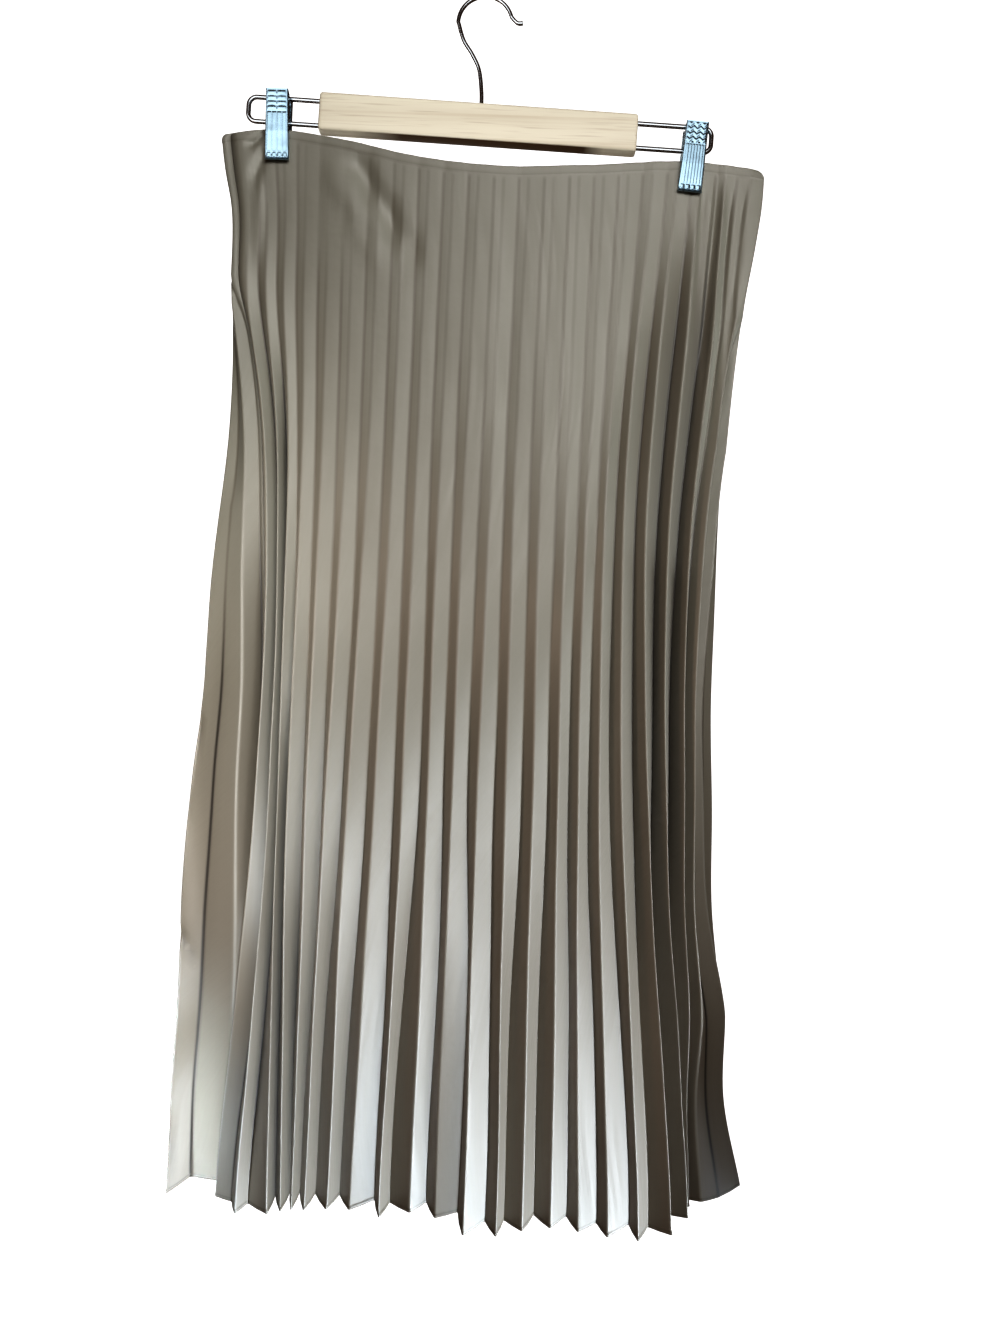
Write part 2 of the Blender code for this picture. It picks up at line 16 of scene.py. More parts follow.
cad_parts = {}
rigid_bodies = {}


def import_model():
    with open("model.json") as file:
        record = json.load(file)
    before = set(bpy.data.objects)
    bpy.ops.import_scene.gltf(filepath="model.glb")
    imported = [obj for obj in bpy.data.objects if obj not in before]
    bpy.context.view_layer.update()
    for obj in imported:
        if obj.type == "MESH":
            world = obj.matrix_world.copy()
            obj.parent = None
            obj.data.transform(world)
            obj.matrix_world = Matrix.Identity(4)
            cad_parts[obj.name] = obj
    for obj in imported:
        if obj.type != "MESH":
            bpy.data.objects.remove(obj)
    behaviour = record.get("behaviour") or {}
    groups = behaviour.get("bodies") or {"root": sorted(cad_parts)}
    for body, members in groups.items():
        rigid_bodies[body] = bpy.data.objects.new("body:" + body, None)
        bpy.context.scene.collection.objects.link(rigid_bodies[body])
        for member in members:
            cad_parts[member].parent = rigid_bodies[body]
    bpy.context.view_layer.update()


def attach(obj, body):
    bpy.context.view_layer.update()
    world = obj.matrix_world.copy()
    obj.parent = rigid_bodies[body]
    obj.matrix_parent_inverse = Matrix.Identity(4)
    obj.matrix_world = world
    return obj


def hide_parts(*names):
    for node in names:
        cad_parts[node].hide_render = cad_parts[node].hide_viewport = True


MM = 0.001
BODY = "root"

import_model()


def named_rows(fields, *rows):
    """A list of rows whose fields have names."""
    kind = namedtuple("Row", fields)
    return [kind(*row) for row in rows]


# Cloth
WALL = 1.1
LAYER_GAP = 0.8
SHELL = 0.5
PLEATS = 22
CLOTH_LENGTH = 770
WAIST_Z = -114
HIP_Z = -370
KNEE_Z = -592
HEM_Z = -884
WAIST_LEFT = -194.5
WAIST_RIGHT = 211
WAIST_GAPE = 5
MARGIN = 6.5
HEM_TURN = 2.4
FOLD_ROUNDING = 1.5
FLANK_BELLY = 0.02
# How far down the cloth the folds' places are evened out, and how far the folds wander
SETTLE_WIDTH = 34
WANDER = 0.38
# Where the left clip's pull lays the pleats flat, and where it draws the waist taut
PULL_X = -104
TAUT_X = -135
# How far below the edge the sides' pleats lie wrapped flat
WRAP_BELOW = 138
CORNER_STEPS = (0, 0.25, 0.5, 0.75, 1)
FLANK_STEPS = (0.07, 0.5, 0.93)
CORNER_SHARES = (0.25, 0.8, 1, 0.8, 0.25)
FOLD_COLUMNS = len(CORNER_STEPS) + len(FLANK_STEPS)
LEFT_COLUMNS = 7 * FOLD_COLUMNS
# Folds that the sides still hold: the front's last one, and the back's first and last ones
FRONT_END, BACK_START, BACK_END = 43, 47, 81
# The share of their depth that the pleats keep near the waist, and how far a valley lies to the
# right of the middle between its ridges, in shares of their distance
UPPER_DEPTH = 0.14
VALLEY_LEAN = 0.13
SATIN_DARK = (0.187, 0.182, 0.149, 1)
SATIN_LIGHT = (0.228, 0.223, 0.190, 1)
# A warmer, darker tone painted towards the hem as shade
SATIN_LOW_WARM_SHADE = (0.205, 0.177, 0.144, 1)
# Painted highlight for the pleats' ridges
SATIN_RIDGE_HIGHLIGHT = (0.42, 0.42, 0.39, 1)
# Painted shade for creases, valleys and stitched grooves
SATIN_CREASE_SHADE = (0.10, 0.085, 0.062, 1)
# Painted shadow for the crevices
SATIN_CREVICE_SHADOW = (0.018, 0.014, 0.011, 1)
WOOD_LIGHT = (0.76, 0.72, 0.60, 1)
WOOD_DARK = (0.65, 0.60, 0.49, 1)
WOOD_GRAIN = (0.47, 0.37, 0.26, 1)
WOOD_PORE = (0.32, 0.23, 0.15, 1)
# Painted shade for the bar's underside
WOOD_UNDERSIDE_SHADE = (0.085, 0.048, 0.022, 1)
CLIP_STEEL = (0.50, 0.66, 0.76, 1)
WIRE_STEEL = (0.78, 0.78, 0.78, 1)
SMUDGE_SCALE = 90
STUDIO_WHITE = (0.9, 0.9, 0.9, 1)
ROOM_GLOW = (1, 0.6, 0.42, 1)

# Hanger, in its own level frame
HANGER_TILT = math.radians(1.9)
BAR_SIZE = (235, 12, 27.5)
BAR_Z = -93.5
WIRE_DIAMETER = 3.5
WIRE_SPACING = 18
LOOP_REACH = {"left": 54.5, "right": 57}
LOOP_CORNER = 6
HOOK_DIAMETER = 3
HOOK_RADIUS = 20
CLIP_X = {"left": -147.5, "right": 160.3}
CLIP_TOP_Z = -77
CLIP_PIVOT = BAR_Z - CLIP_TOP_Z
CLIP_FACE_START = 4.2
CLIP_DROP = {"left": 0.8, "right": 3.2}
FIT_GAP = 0.3
CLIP_SPAN = (CLIP_X["right"] - CLIP_X["left"]) / 2
# The cloth is held flat a little to the left of each clip's middle: under half of the clip's width,
# fading over a width to each side, and from a start downwards over a reach
GRIP_SHIFT, CLIP_HALF, GRIP_WIDTH = 3.4, 10, 24
GRIP_START, GRIP_REACH = 27, 70
CLIP_MIDDLE = (CLIP_X["right"] + CLIP_X["left"]) / 2 - GRIP_SHIFT

# The cut top edge sags between the clips: x and z of points along it
WAIST_EDGE = named_rows(
    "x z",
    (-194.5, -107.5),
    (-160, -103),
    (-100, -110),
    (-55, -120),
    (16, -126.8),
    (80, -122.5),
    (150, -115.7),
    (211, -120),
)

# Width of one flank of a pleat, from fold to fold, at each height
FLANKS = named_rows(
    "z width",
    (WAIST_Z, 9.25),
    (-222, 9.45),
    (HIP_Z, 11.3),
    (KNEE_Z, 17),
    (-740, 20.5),
    (HEM_Z, 23),
)

# The front panel's pleats, left to right: where each ridge lies at hip and knee (x only), and
# where the ridge and the valley to its right lie at the hem, y being negative towards the viewer
FRONT_PLEATS = named_rows(
    "hip knee hem_x hem_y valley_x valley_y",
    (-146, -143, -166, -14, -152, -23),
    (-138, -133, -145, -38, -139, -24),
    (-131, -127, -122, -37, -121, -20),
    (-121, -120, -113, -32, -112, -11),
    (-107, -106, -106, -29, -105, -6),
    (-90, -92, -98, -29, -94, -4),
    (-73, -77, -82, -25, -76, -4),
    (-55, -58, -66, -24, -50, -8),
    (-38, -38, -44, -32, -39, -10),
    (-21, -20, -23, -23, -12, -8),
    (-3, -3, -5, -29, 12, -20),
    (16, 15, 16, -51, 32, -32),
    (33, 35, 39, -51, 45, -30),
    (52, 54, 57, -43, 66, -22),
    (71, 72, 77, -39, 90, -23),
    (86, 86, 96, -44, 111, -32),
    (100, 101, 117, -50, 134, -34),
    (113, 118, 138, -55, 148, -36),
    (129, 137, 163, -46, 161, -21),
    (146, 150, 180, -21, 164, -7),
    (162, 164, 184, -5, 172, 9),
    (173, 173, 192, 2, 206, 8),
)

# The back panel's pleats that wrap round the right and left sides, in order round the skirt
SIDE_PLEAT_FIELDS = "hip_x hip_y knee_x knee_y hem_x hem_y valley_x valley_y"
RIGHT_PLEATS = named_rows(
    SIDE_PLEAT_FIELDS,
    (182, -4, 182, -5, 227, 26, 206, 30),
    (185, 8, 192, 12, 214, 50, 200, 33),
)
LEFT_PLEATS = named_rows(
    SIDE_PLEAT_FIELDS,
    (-176, 11, -199, 22, -208, 38, -196, 19),
    (-181, -1, -196, -2, -200, -16, -190, 10),
    (-163, -12, -157, -24, -158, 3, -153, -9),
)
# Valleys that lie wrapped at the sides, and those that turn round the corners of the waist
SIDE_VALLEYS = [22, 23, 40, 41, 42]
TURNS = [PLEATS - 1, 2 * PLEATS - 1]
# How far the ridges lie from the middle at front and back, and where they run out at the sides
HIP_FRONT, HIP_BACK, HIP_SIDES = -20, 20, (-192, 196)
KNEE_FRONT, KNEE_BACK, KNEE_SIDES = -34, 36, (-206, 202)
HEM_BACK = 47
MARGIN_DEPTH_SHARE = 0.3
MARGIN_FADE = 6
GRIPPED_DEPTH = 0.8
LEAST_DEPTH = 0.3
CORNER_LOSS = 0.75
SIDE_BAND = 70

# The outline seen from the front: the outermost x on the left and on the right at each height
OUTLINE = named_rows(
    "z left right",
    (-108, -194.5, 211),
    (-140, -190, 210),
    (-167, -184, 206.5),
    (-222, -181, 198),
    (-333, -180, 189),
    (-444, -189, 188),
    (-518, -192, 188),
    (-592, -201, 192),
    (-666, -206, 195.5),
    (-740, -206.5, 206),
    (-814, -209, 210),
    (-884, -209, 227),
)

# Soft creases pressed into the front by the clips' pull: a line from one point to the other, how
# wide the trough is, and how far it goes in (a ridge is negative)
CREASE_FIELDS = "x z to_x to_z width depth"
CREASES = named_rows(
    CREASE_FIELDS,
    (-98, -116, -40, -206, 7.5, 3.4),
    (-114, -124, -62, -218, 8, -1.4),
    (-102, -158, -70, -192, 5, 0.9),
    (-159, -105, -175, -119, 2.8, 2),
    (-159, -117, -171, -148, 3.2, 2.4),
    (-163, -135, -160, -230, 3.5, -1),
    (166, -120, 160, -300, 2.6, 2.2),
    (176, -118, 167, -330, 3, 2.4),
    (186, -119, 174, -340, 2.6, 2),
    (196, -120, 182, -320, 3, 1.8),
    (171, -125, 164, -300, 2.2, -1.2),
    (181, -125, 171, -320, 2.2, -1.2),
)

# The same on the back panel where it wraps round to the front on the left
LEFT_CREASES = named_rows(
    CREASE_FIELDS,
    (-190, -530, -193, -610, 3, 2.4),
    (-201, -600, -196, -700, 4, -1.6),
    (-204, -690, -188, -724, 3.5, 2.6),
    (-209, -752, -195, -905, 2.6, 2.2),
    (-203, -800, -188, -905, 4, -1.2),
)

# Where the pull deepens the pleats that it crosses: the same kind of line, and how much deeper
TENSION_BANDS = named_rows(
    CREASE_FIELDS,
    (-100, -114, -38, -210, 9, 1.9),
    (-104, -156, -68, -194, 6, 0.5),
)


def smooth(x):
    """The smooth step 3x^2 - 2x^3 of x held between 0 and 1."""
    x = np.clip(x, 0, 1)
    return x * x * (3 - 2 * x)


def bell(x, width):
    """The bell e^-(x/width)^2."""
    return np.exp(-((x / width) ** 2))


def fade(x, start, length):
    """1 up to the start, then down to 0 over the length by a smooth step."""
    return 1 - smooth((x - start) / length)


def unit(vectors):
    """Vectors brought to length 1."""
    return vectors / np.maximum(np.linalg.norm(vectors, axis=-1, keepdims=True), 1e-6)


def through(knots, values, at):
    """A cubic through values at rising knots, each slope being that of the chord of its neighbours.

    values may hold several columns, one for each curve, and the curves are read at each of at.
    """
    knots, values, at = (np.asarray(a, float) for a in (knots, values, at))
    slopes = np.gradient(values, knots, axis=0)
    piece = np.clip(np.searchsorted(knots, at) - 1, 0, len(knots) - 2)
    gap = knots[piece + 1] - knots[piece]
    t = np.clip((at - knots[piece]) / gap, 0, 1)
    shape = (slice(None),) + (None,) * (values.ndim - 1)
    t, gap = t[shape], gap[shape]
    return (
        (2 * t**3 - 3 * t**2 + 1) * values[piece]
        + (t**3 - 2 * t**2 + t) * gap * slopes[piece]
        + (3 * t**2 - 2 * t**3) * values[piece + 1]
        + (t**3 - t**2) * gap * slopes[piece + 1]
    )


def read(table, given, wanted, at):
    """A table's wanted field where the given one has the values in at, by a curve through its rows."""
    rows = sorted(table, key=lambda row: getattr(row, given))
    return through([getattr(r, given) for r in rows], [getattr(r, wanted) for r in rows], at)


def waist_edge_z(x):
    """Height of the skirt's top edge at x."""
    return read(WAIST_EDGE, "x", "z", x)


def flank_width(z):
    """Width of a pleat's flank at one height z."""
    return read(FLANKS, "z", "width", [z])[0]


def clip_grip(x, below):
    """How firmly a clip holds the cloth flat: 1 under a clip, fading sideways and downwards."""
    held = np.zeros_like(x)
    for clip_x in CLIP_X.values():
        centre = clip_x - GRIP_SHIFT
        sideways = bell(np.maximum(np.abs(x - centre) - CLIP_HALF, 0), GRIP_WIDTH)
        held = np.maximum(held, sideways * fade(below, GRIP_START, GRIP_REACH))
    return held


def bowed(x, depth, left, right):
    """Depth of a panel's ridges at x: full across the middle and nearly none at its sides."""
    across = (2 * x - left - right) / (right - left)
    return depth * (1 - np.abs(across) ** 6)


def ridge_stations():
    """x and y of all the ridges at waist, hip, knee and hem, in order round the skirt.

    The back's ridges between the two sides' own ones are evenly spaced but for a small sine, and
    their depth leaves that of the sides by a smooth step.
    """
    pitch = (WAIST_RIGHT - WAIST_LEFT) / PLEATS
    places = WAIST_LEFT + pitch * (np.arange(PLEATS) + 0.5)
    waist_x = np.concatenate([places, places[::-1]])
    stations = [np.column_stack([waist_x, np.repeat([-1, 1], PLEATS)])]
    hip_x, knee_x, hem_x, hem_y = np.array(FRONT_PLEATS, float)[:, :4].T
    fronts = (
        (hip_x, bowed(hip_x, HIP_FRONT, *HIP_SIDES)),
        (knee_x, bowed(knee_x, KNEE_FRONT, *KNEE_SIDES)),
        (hem_x, hem_y),
    )
    middle = PLEATS - len(RIGHT_PLEATS) - len(LEFT_PLEATS)
    number = np.arange(middle)
    step = (number + 1) / (middle + 1)
    turn = smooth(np.minimum(step, 1 - step) / 0.12)
    for height, (front, depth) in enumerate(zip(fronts, (HIP_BACK, KNEE_BACK, HEM_BACK))):
        xy = slice(2 * height, 2 * height + 2)
        right, left = (np.array(rows, float)[:, xy] for rows in (RIGHT_PLEATS, LEFT_PLEATS))
        uneven = 0.25 * np.sin(2.3 * number + height) / (middle + 1)
        back_x = right[-1, 0] + (left[0, 0] - right[-1, 0]) * (step + uneven)
        back_y = depth + 0.08 * depth * np.sin(0.9 * number + 2 * height)
        end_y = np.where(step < 0.5, right[-1, 1], left[0, 1])
        back = np.column_stack([back_x, end_y + (back_y - end_y) * turn])
        stations.append(np.concatenate([np.column_stack(front), right, back, left]))
    return stations


def hem_valley_offsets(hem):
    """From the middle of each pair of ridges to the valley between them, at the hem."""
    following = np.roll(hem, -1, axis=0)
    middle = (hem + following) / 2
    inward = straight_inward(hem, flank_width(HEM_Z))
    tables = {0: FRONT_PLEATS, PLEATS: RIGHT_PLEATS, 2 * PLEATS - len(LEFT_PLEATS): LEFT_PLEATS}
    for first, rows in tables.items():
        own = slice(first, first + len(rows))
        inward[own] = np.array([(row.valley_x, row.valley_y) for row in rows]) - middle[own]
    return inward


def straight_inward(ridges, width):
    """From the middle of each pair of ridges, the way inwards to a valley whose two flanks both
    have the given width, shallower where the ridges turn a corner."""
    chord = np.roll(ridges, -1, axis=0) - ridges
    length = np.maximum(np.linalg.norm(chord, axis=1), 1e-6)
    height = np.sqrt(np.maximum(width**2 - (length / 2) ** 2, LEAST_DEPTH**2))
    normal = np.column_stack([-chord[:, 1], chord[:, 0]]) / length[:, None]
    before = np.roll(chord, 1, axis=0)
    sine = before[:, 0] * chord[:, 1] - before[:, 1] * chord[:, 0]
    turn = np.arctan2(sine, np.sum(before * chord, axis=1)) / (math.pi / 2)
    corner = np.clip(np.maximum(turn, np.roll(turn, -1)) - 0.2, 0, 1)
    return normal * (height * (1 - CORNER_LOSS * corner))[:, None]


def fit_outline(line, z):
    """Moves the folds near each side so that the outermost one lies on the measured outline."""
    for sign, column in ((-1, "left"), (1, "right")):
        target = read(OUTLINE, "z", column, [z])[0]
        now = sign * np.max(sign * line[:, 0])
        error = target - sign * WALL / 2 - now
        line[:, 0] += error * smooth(1 - sign * (now - line[:, 0]) / SIDE_BAND)


# Valleys that close up into crevices, darkened by painted shadow: the fold's number round the
# skirt, the heights where the crevice starts and ends, how much deeper it is, how dark its painted
# shadow is, and how many columns of points wide
CREVICE_FADE = 120
CREVICES = named_rows(
    "fold top bottom depth shade width",
    (1, -240, -880, 4, 2.4, 3),
    (3, -300, -840, 8, 5, 3.2),
    (5, -560, -940, 10, 4.2, 4.5),
    (7, -680, -940, 7, 3.4, 4),
    (9, -720, -900, 4, 1.5, 3.5),
    (33, -300, -560, 3, 1, 3.5),
    (35, -240, -700, 4, 1.8, 4),
    (37, -200, -900, 6, 2.4, 5),
    (39, -200, -920, 6, 2.6, 5),
    (41, -340, -920, 0, 2, 5),
    (43, -480, -960, 0, 2.4, 3),
    (45, -520, -960, 0, 2, 2.5),
    (83, -600, -960, 0, 2, 2),
    (85, -480, -960, 0, 2.6, 2.5),
    (87, -420, -960, 4, 3.2, 3),
)


def within(z, row):
    """1 between a crevice's top and bottom, fading to 0 over a length at each end."""
    above = smooth((z - row.bottom) / CREVICE_FADE + 0.5)
    return above * smooth((row.top - z) / CREVICE_FADE + 0.5)


def deepen(lines):
    """Draws each crevice's valley further in."""
    for row in CREVICES:
        lines[:, row.fold, 1] += row.depth * within(lines[:, row.fold, 2], row)
    return lines


def lay_ridges(ridges, width, below, side):
    """Lays a row's ridges on both sides of the flat waist, and gives the ways in to its valleys.

    Between the clips the two layers gape by a squared cosine, and under a clip both lie flat. The
    pleats are shallow in the top margin and where the left clip pulls the cloth taut.
    """
    x = ridges[:, 0]
    depth = np.linalg.norm(straight_inward(ridges, width), axis=1)
    depth = np.maximum(depth, np.roll(depth, 1))
    taut = bell(x - TAUT_X, 55) * fade(below, 60, 60)
    flatness = MARGIN_DEPTH_SHARE + (1 - MARGIN_DEPTH_SHARE) * smooth(below / MARGIN_FADE)
    shallow = flatness * (1 - 0.65 * taut)
    across = np.clip((x - CLIP_MIDDLE) / CLIP_SPAN, -1, 1)
    gape = WAIST_GAPE * np.cos(across * math.pi / 2) ** 2
    hold = clip_grip(x, below)
    flat_y = side * (LAYER_GAP / 2 + WALL / 2 + np.minimum(depth, GRIPPED_DEPTH) * shallow)
    open_y = flat_y + side * gape + (ridges[:, 1] - side)
    ridges[:, 1] = open_y * (1 - hold) + flat_y * hold
    offsets = straight_inward(ridges, width) * shallow[:, None]
    deep = np.maximum(np.linalg.norm(offsets, axis=1), 1e-6)
    offsets *= (1 - hold + hold * np.minimum(1, GRIPPED_DEPTH / deep))[:, None]
    offsets[SIDE_VALLEYS] *= 1 - 0.92 * bell(below - WRAP_BELOW, 50)
    return ridges, offsets


def lay_valleys(ridges, offsets, below):
    """A row's valleys; near the waist the two at the sides turn round its corners instead."""
    valleys = (ridges + np.roll(ridges, -1, axis=0)) / 2 + offsets
    turning = fade(below, 20, 130)
    turn_y = -0.09 * max(below - 25, 0)
    for number, turn_x in zip(TURNS, (WAIST_RIGHT, WAIST_LEFT)):
        corner = np.array([turn_x, turn_y])
        valleys[number] = valleys[number] * (1 - turning) + corner * turning
    return valleys


def fold_lines(rows_down):
    """Every fold's x, y and z at each row: an array of rows, folds and the three coordinates.

    Folds alternate ridge and valley round the skirt, from the front's leftmost ridge. Near the
    waist no fold may lie nearer the middle than a part of the cloth's thickness.
    """
    waist, hip, knee, hem = ridge_stations()
    hem_offsets = hem_valley_offsets(hem)
    share_down = rows_down / CLOTH_LENGTH
    nominal_z = WAIST_Z + (HEM_Z - WAIST_Z) * share_down
    ridge_rows = through((HEM_Z, KNEE_Z, HIP_Z, WAIST_Z), [hem, knee, hip, waist], nominal_z)
    side = np.repeat([-1, 1], PLEATS)
    lines = np.zeros((len(nominal_z), 4 * PLEATS, 3))
    for row, (z, below) in enumerate(zip(nominal_z, rows_down)):
        ridges, offsets = lay_ridges(ridge_rows[row], flank_width(z), below, side)
        low = smooth((KNEE_Z - z) / (KNEE_Z - HEM_Z))
        chord = np.roll(ridges, -1, axis=0) - ridges
        offsets[: PLEATS - 2] += VALLEY_LEAN * chord[: PLEATS - 2]
        valleys = lay_valleys(ridges, offsets * (1 - low) + hem_offsets * low, below)
        near_waist = fade(below, 45, 60)
        least_y = (LAYER_GAP + WALL) * 0.65 * near_waist - 30 * (1 - near_waist)
        ridges[:, 1] = side * np.maximum(side * ridges[:, 1], least_y)
        kept = side * np.maximum(side * valleys[:, 1], least_y)
        kept[TURNS] = valleys[TURNS, 1]
        valleys[:, 1] = kept
        lines[row, 0::2, :2] = ridges
        lines[row, 1::2, :2] = valleys
        fit_outline(lines[row], z)
        edge = waist_edge_z(lines[row, :, 0])
        lines[row, :, 2] = edge + (HEM_Z - edge) * share_down[row]
    return lines


def cloth_rows():
    """Distances down the cloth of its rows of points: close at the margin and the hem."""
    top = [0, 0.35, 1, 2.2, 3.8, 5.4, 6.2, 6.7, 7.2, 8.4, 10.5, 13, 16, 20, 24.5, 29.5]
    end = [CLOTH_LENGTH - d for d in (4.6, 3.2, 2.7, 2.35, 2, 1.2, 0.4, 0)]
    middle = np.linspace(35, CLOTH_LENGTH - 9, 104)
    return np.concatenate([top, middle, end])


def cloth_grid(lines, first, last):
    """The middle of a panel's cloth as a grid, with softly rounded folds between two seams.

    Each fold is a quadratic curve whose ends lie a little back along its two flanks and whose
    middle point is the fold itself. Between two folds the flank bellies outwards very slightly. The
    columns' fold value is 1 on a ridge, -1 in a valley and 0 on a flank, and well below -1 in a
    crevice, from where it fades by a bell over the flanks on both sides. The satin paints a highlight
    on ridges and shade in valleys and crevices from this value.
    """
    count = lines.shape[1]
    numbers = np.arange(first + 1, last + 1)
    here = lines[:, numbers % count]
    before = lines[:, (numbers - 1) % count].copy()
    after = lines[:, (numbers + 1) % count].copy()
    before[:, 0] = (before[:, 0] + here[:, 0]) / 2
    after[:, -1] = (after[:, -1] + here[:, -1]) / 2
    back, ahead = before - here, after - here
    shorter = np.minimum(np.linalg.norm(back, axis=2), np.linalg.norm(ahead, axis=2))
    reach = np.minimum(FOLD_ROUNDING, 0.3 * shorter)[..., None]
    start = here + unit(back) * reach
    end = here + unit(ahead) * reach
    corner = [(1 - t) ** 2 * start + 2 * t * (1 - t) * here + t**2 * end for t in CORNER_STEPS]
    gap = np.roll(start, -1, axis=1) - end
    normal = np.stack([gap[..., 1], -gap[..., 0], np.zeros(gap.shape[:2])], axis=-1)
    flank = [end + gap * t + normal * (FLANK_BELLY * (t == 0.5)) for t in FLANK_STEPS]
    folded = np.stack(corner + flank, axis=2).reshape(len(lines), -1, 3)[:, : -len(flank)]
    grid = np.concatenate([before[:, :1], folded, after[:, -1:]], axis=1)
    sign = np.where(numbers % 2 == 0, 1, -1)
    values = np.outer(sign, CORNER_SHARES + (0,) * len(flank)).ravel()[: -len(flank)]
    fold = np.tile(np.concatenate([[0], values, [0]]), (len(grid), 1))
    place = np.arange(grid.shape[1])
    # Painted shadow in each crevice: the fold value sinks well below -1 and fades over the flanks on both
    # sides
    for row in CREVICES:
        for n in np.flatnonzero(numbers % count == row.fold):
            centre = 1 + n * FOLD_COLUMNS + len(corner) // 2
            fold -= row.shade * bell(place - centre, row.width) * within(grid[..., 2], row)
    return grid, fold


def seam_trim(grid):
    """Draws a panel's two side edges back from the seams by half of the fitting gap."""
    for edge, inner in ((0, 1), (-1, -2)):
        grid[:, edge] += unit(grid[:, inner] - grid[:, edge]) * FIT_GAP / 2
    return grid


def bells_along(grid, creases, start=0.18, end=0.35):
    """The sum over the creases of each one's depth, as a bell across it that fades at its ends
    over shares of its length."""
    x, z = grid[..., 0], grid[..., 2]
    pushed = np.zeros_like(x)
    for crease in creases:
        run_x, run_z = crease.to_x - crease.x, crease.to_z - crease.z
        length = math.hypot(run_x, run_z)
        along = ((x - crease.x) * run_x + (z - crease.z) * run_z) / length**2
        away = ((x - crease.x) * run_z - (z - crease.z) * run_x) / length
        ends = smooth(along / start) * smooth((1 - along) / end)
        pushed += crease.depth * ends * bell(away, crease.width)
    return pushed


def round_corners(grid, rows):
    """Draws the two top corners in by quarter circles, as the turned margin makes them."""
    for side_x, radius, sign in ((WAIST_LEFT, 5, 1), (WAIST_RIGHT, 7, -1)):
        up = np.clip(radius - rows, 0, radius)
        inset = radius - np.sqrt(radius**2 - up**2)
        near = smooth(1 - sign * (grid[..., 0] - side_x) / 16)
        grid[..., 0] += sign * inset[:, None] * near
    return grid


def settle(lines, rows):
    """Smooths each front fold's run downwards and lays the upper pleats flatter.

    Each fold's x and y become means over rows nearby, weighted by a bell, which leaves the two
    sides alone. A pleat's depth is what its folds depart from the mean of their neighbours, and
    near the waist only a part of it is kept, most of it where the right clip bunches the cloth.
    """
    weight = bell(rows[:, None] - rows[None, :], SETTLE_WIDTH) * np.gradient(rows)[None, :]
    weight /= weight.sum(axis=1, keepdims=True)
    number = np.arange(lines.shape[1])
    in_front = np.minimum(number + 3, FRONT_END - number)
    in_back = np.minimum(number - BACK_START, BACK_END - number)
    inside = np.where(number <= FRONT_END, in_front, in_back)
    kept = lines[..., :2].copy()
    evened = np.tensordot(weight, kept, axes=1)
    lines[..., :2] = kept + (evened - kept) * smooth(inside / 3)[None, :, None]
    middle = (np.roll(lines[..., 1], 1, axis=1) + np.roll(lines[..., 1], -1, axis=1)) / 2
    middle = (middle + lines[..., 1]) / 2
    x, below = lines[..., 0], rows[:, None]
    bunched = np.maximum(
        smooth((x - 95) / 50),
        0.5 * smooth((-118 - x) / 30) * smooth((below - 50) / 130),
    )
    calm = bell(x - PULL_X, 34) * fade(below, 70, 80)
    flat = (UPPER_DEPTH + (0.8 - UPPER_DEPTH) * bunched) * (1 - 0.7 * calm)
    keep = flat + (1 - flat) * smooth((below - 150) / 420)
    keep += bells_along(lines, TENSION_BANDS, 0.2, 0.3)
    lines[..., 1] += (middle - lines[..., 1]) * (1 - keep) * (inside > 0)
    return lines


def drape_waves(lines):
    """Lets each fold wander sideways and in depth by slow waves that grow towards the hem."""
    below = np.linspace(0, 1, lines.shape[0])[:, None]
    number = np.arange(lines.shape[1])[None, :]
    grow = smooth(below / 0.35) * (0.35 + 0.65 * below)
    wave = np.sin(below * (14 + 5 * np.sin(number * 1.7)) + number * 2.4)
    wave += 0.6 * np.sin(below * (31 + 6 * np.sin(number * 0.9)) + number * 4.1)
    lines[..., 0] += WANDER * grow * wave
    lines[..., 1] += WANDER * grow * np.roll(wave, 3, axis=1)
    return lines


def grid_normals(grid):
    """Unit normals of a grid of points, from the cross product of its two directions."""
    return unit(np.cross(np.gradient(grid, axis=1), np.gradient(grid, axis=0)))


def set_attribute(mesh, name, values):
    """Stores one number for each vertex."""
    layer = mesh.attributes.new(name, "FLOAT", "POINT")
    layer.data.foreach_set("value", np.ascontiguousarray(values, np.float32))


def add_object(name, data):
    """Puts a mesh, light or camera into the scene as an object."""
    thing = bpy.data.objects.new(name, data)
    bpy.context.scene.collection.objects.link(thing)
    return thing


def add_mesh(name, points, faces, material=None):
    """A smooth-shaded object from points in metres and faces."""
    mesh = bpy.data.meshes.new(name)
    mesh.from_pydata(np.asarray(points).tolist(), [], faces)
    mesh.polygons.foreach_set("use_smooth", [True] * len(mesh.polygons))
    if material:
        mesh.materials.append(material)
    return add_object(name, mesh)


def new_piece(name, points, faces, material, node):
    """A piece of the skirt or the hanger from points in millimetres, in place of a CAD node."""
    piece = add_mesh(name, np.asarray(points) * MM, faces, material)
    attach(piece, BODY)
    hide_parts(node)
    return piece


def grid_faces(rows, columns, wrap=False):
    """Four-sided faces of a grid of points numbered row by row, its columns closed if wrapped."""
    index = np.arange(rows * columns).reshape(rows, columns)
    if wrap:
        index = np.concatenate([index, index[:, :1]], axis=1)
    faces = np.stack([index[1:, :-1], index[1:, 1:], index[:-1, 1:], index[:-1, :-1]], axis=-1)
    return faces.reshape(-1, 4)


def tube_faces(rows, columns):
    """Faces of a tube made from rings of points, with one face over each end."""
    last = (rows - 1) * columns
    ends = [list(range(columns)), list(range(last, last + columns))[::-1]]
    return grid_faces(rows, columns, wrap=True).tolist() + ends


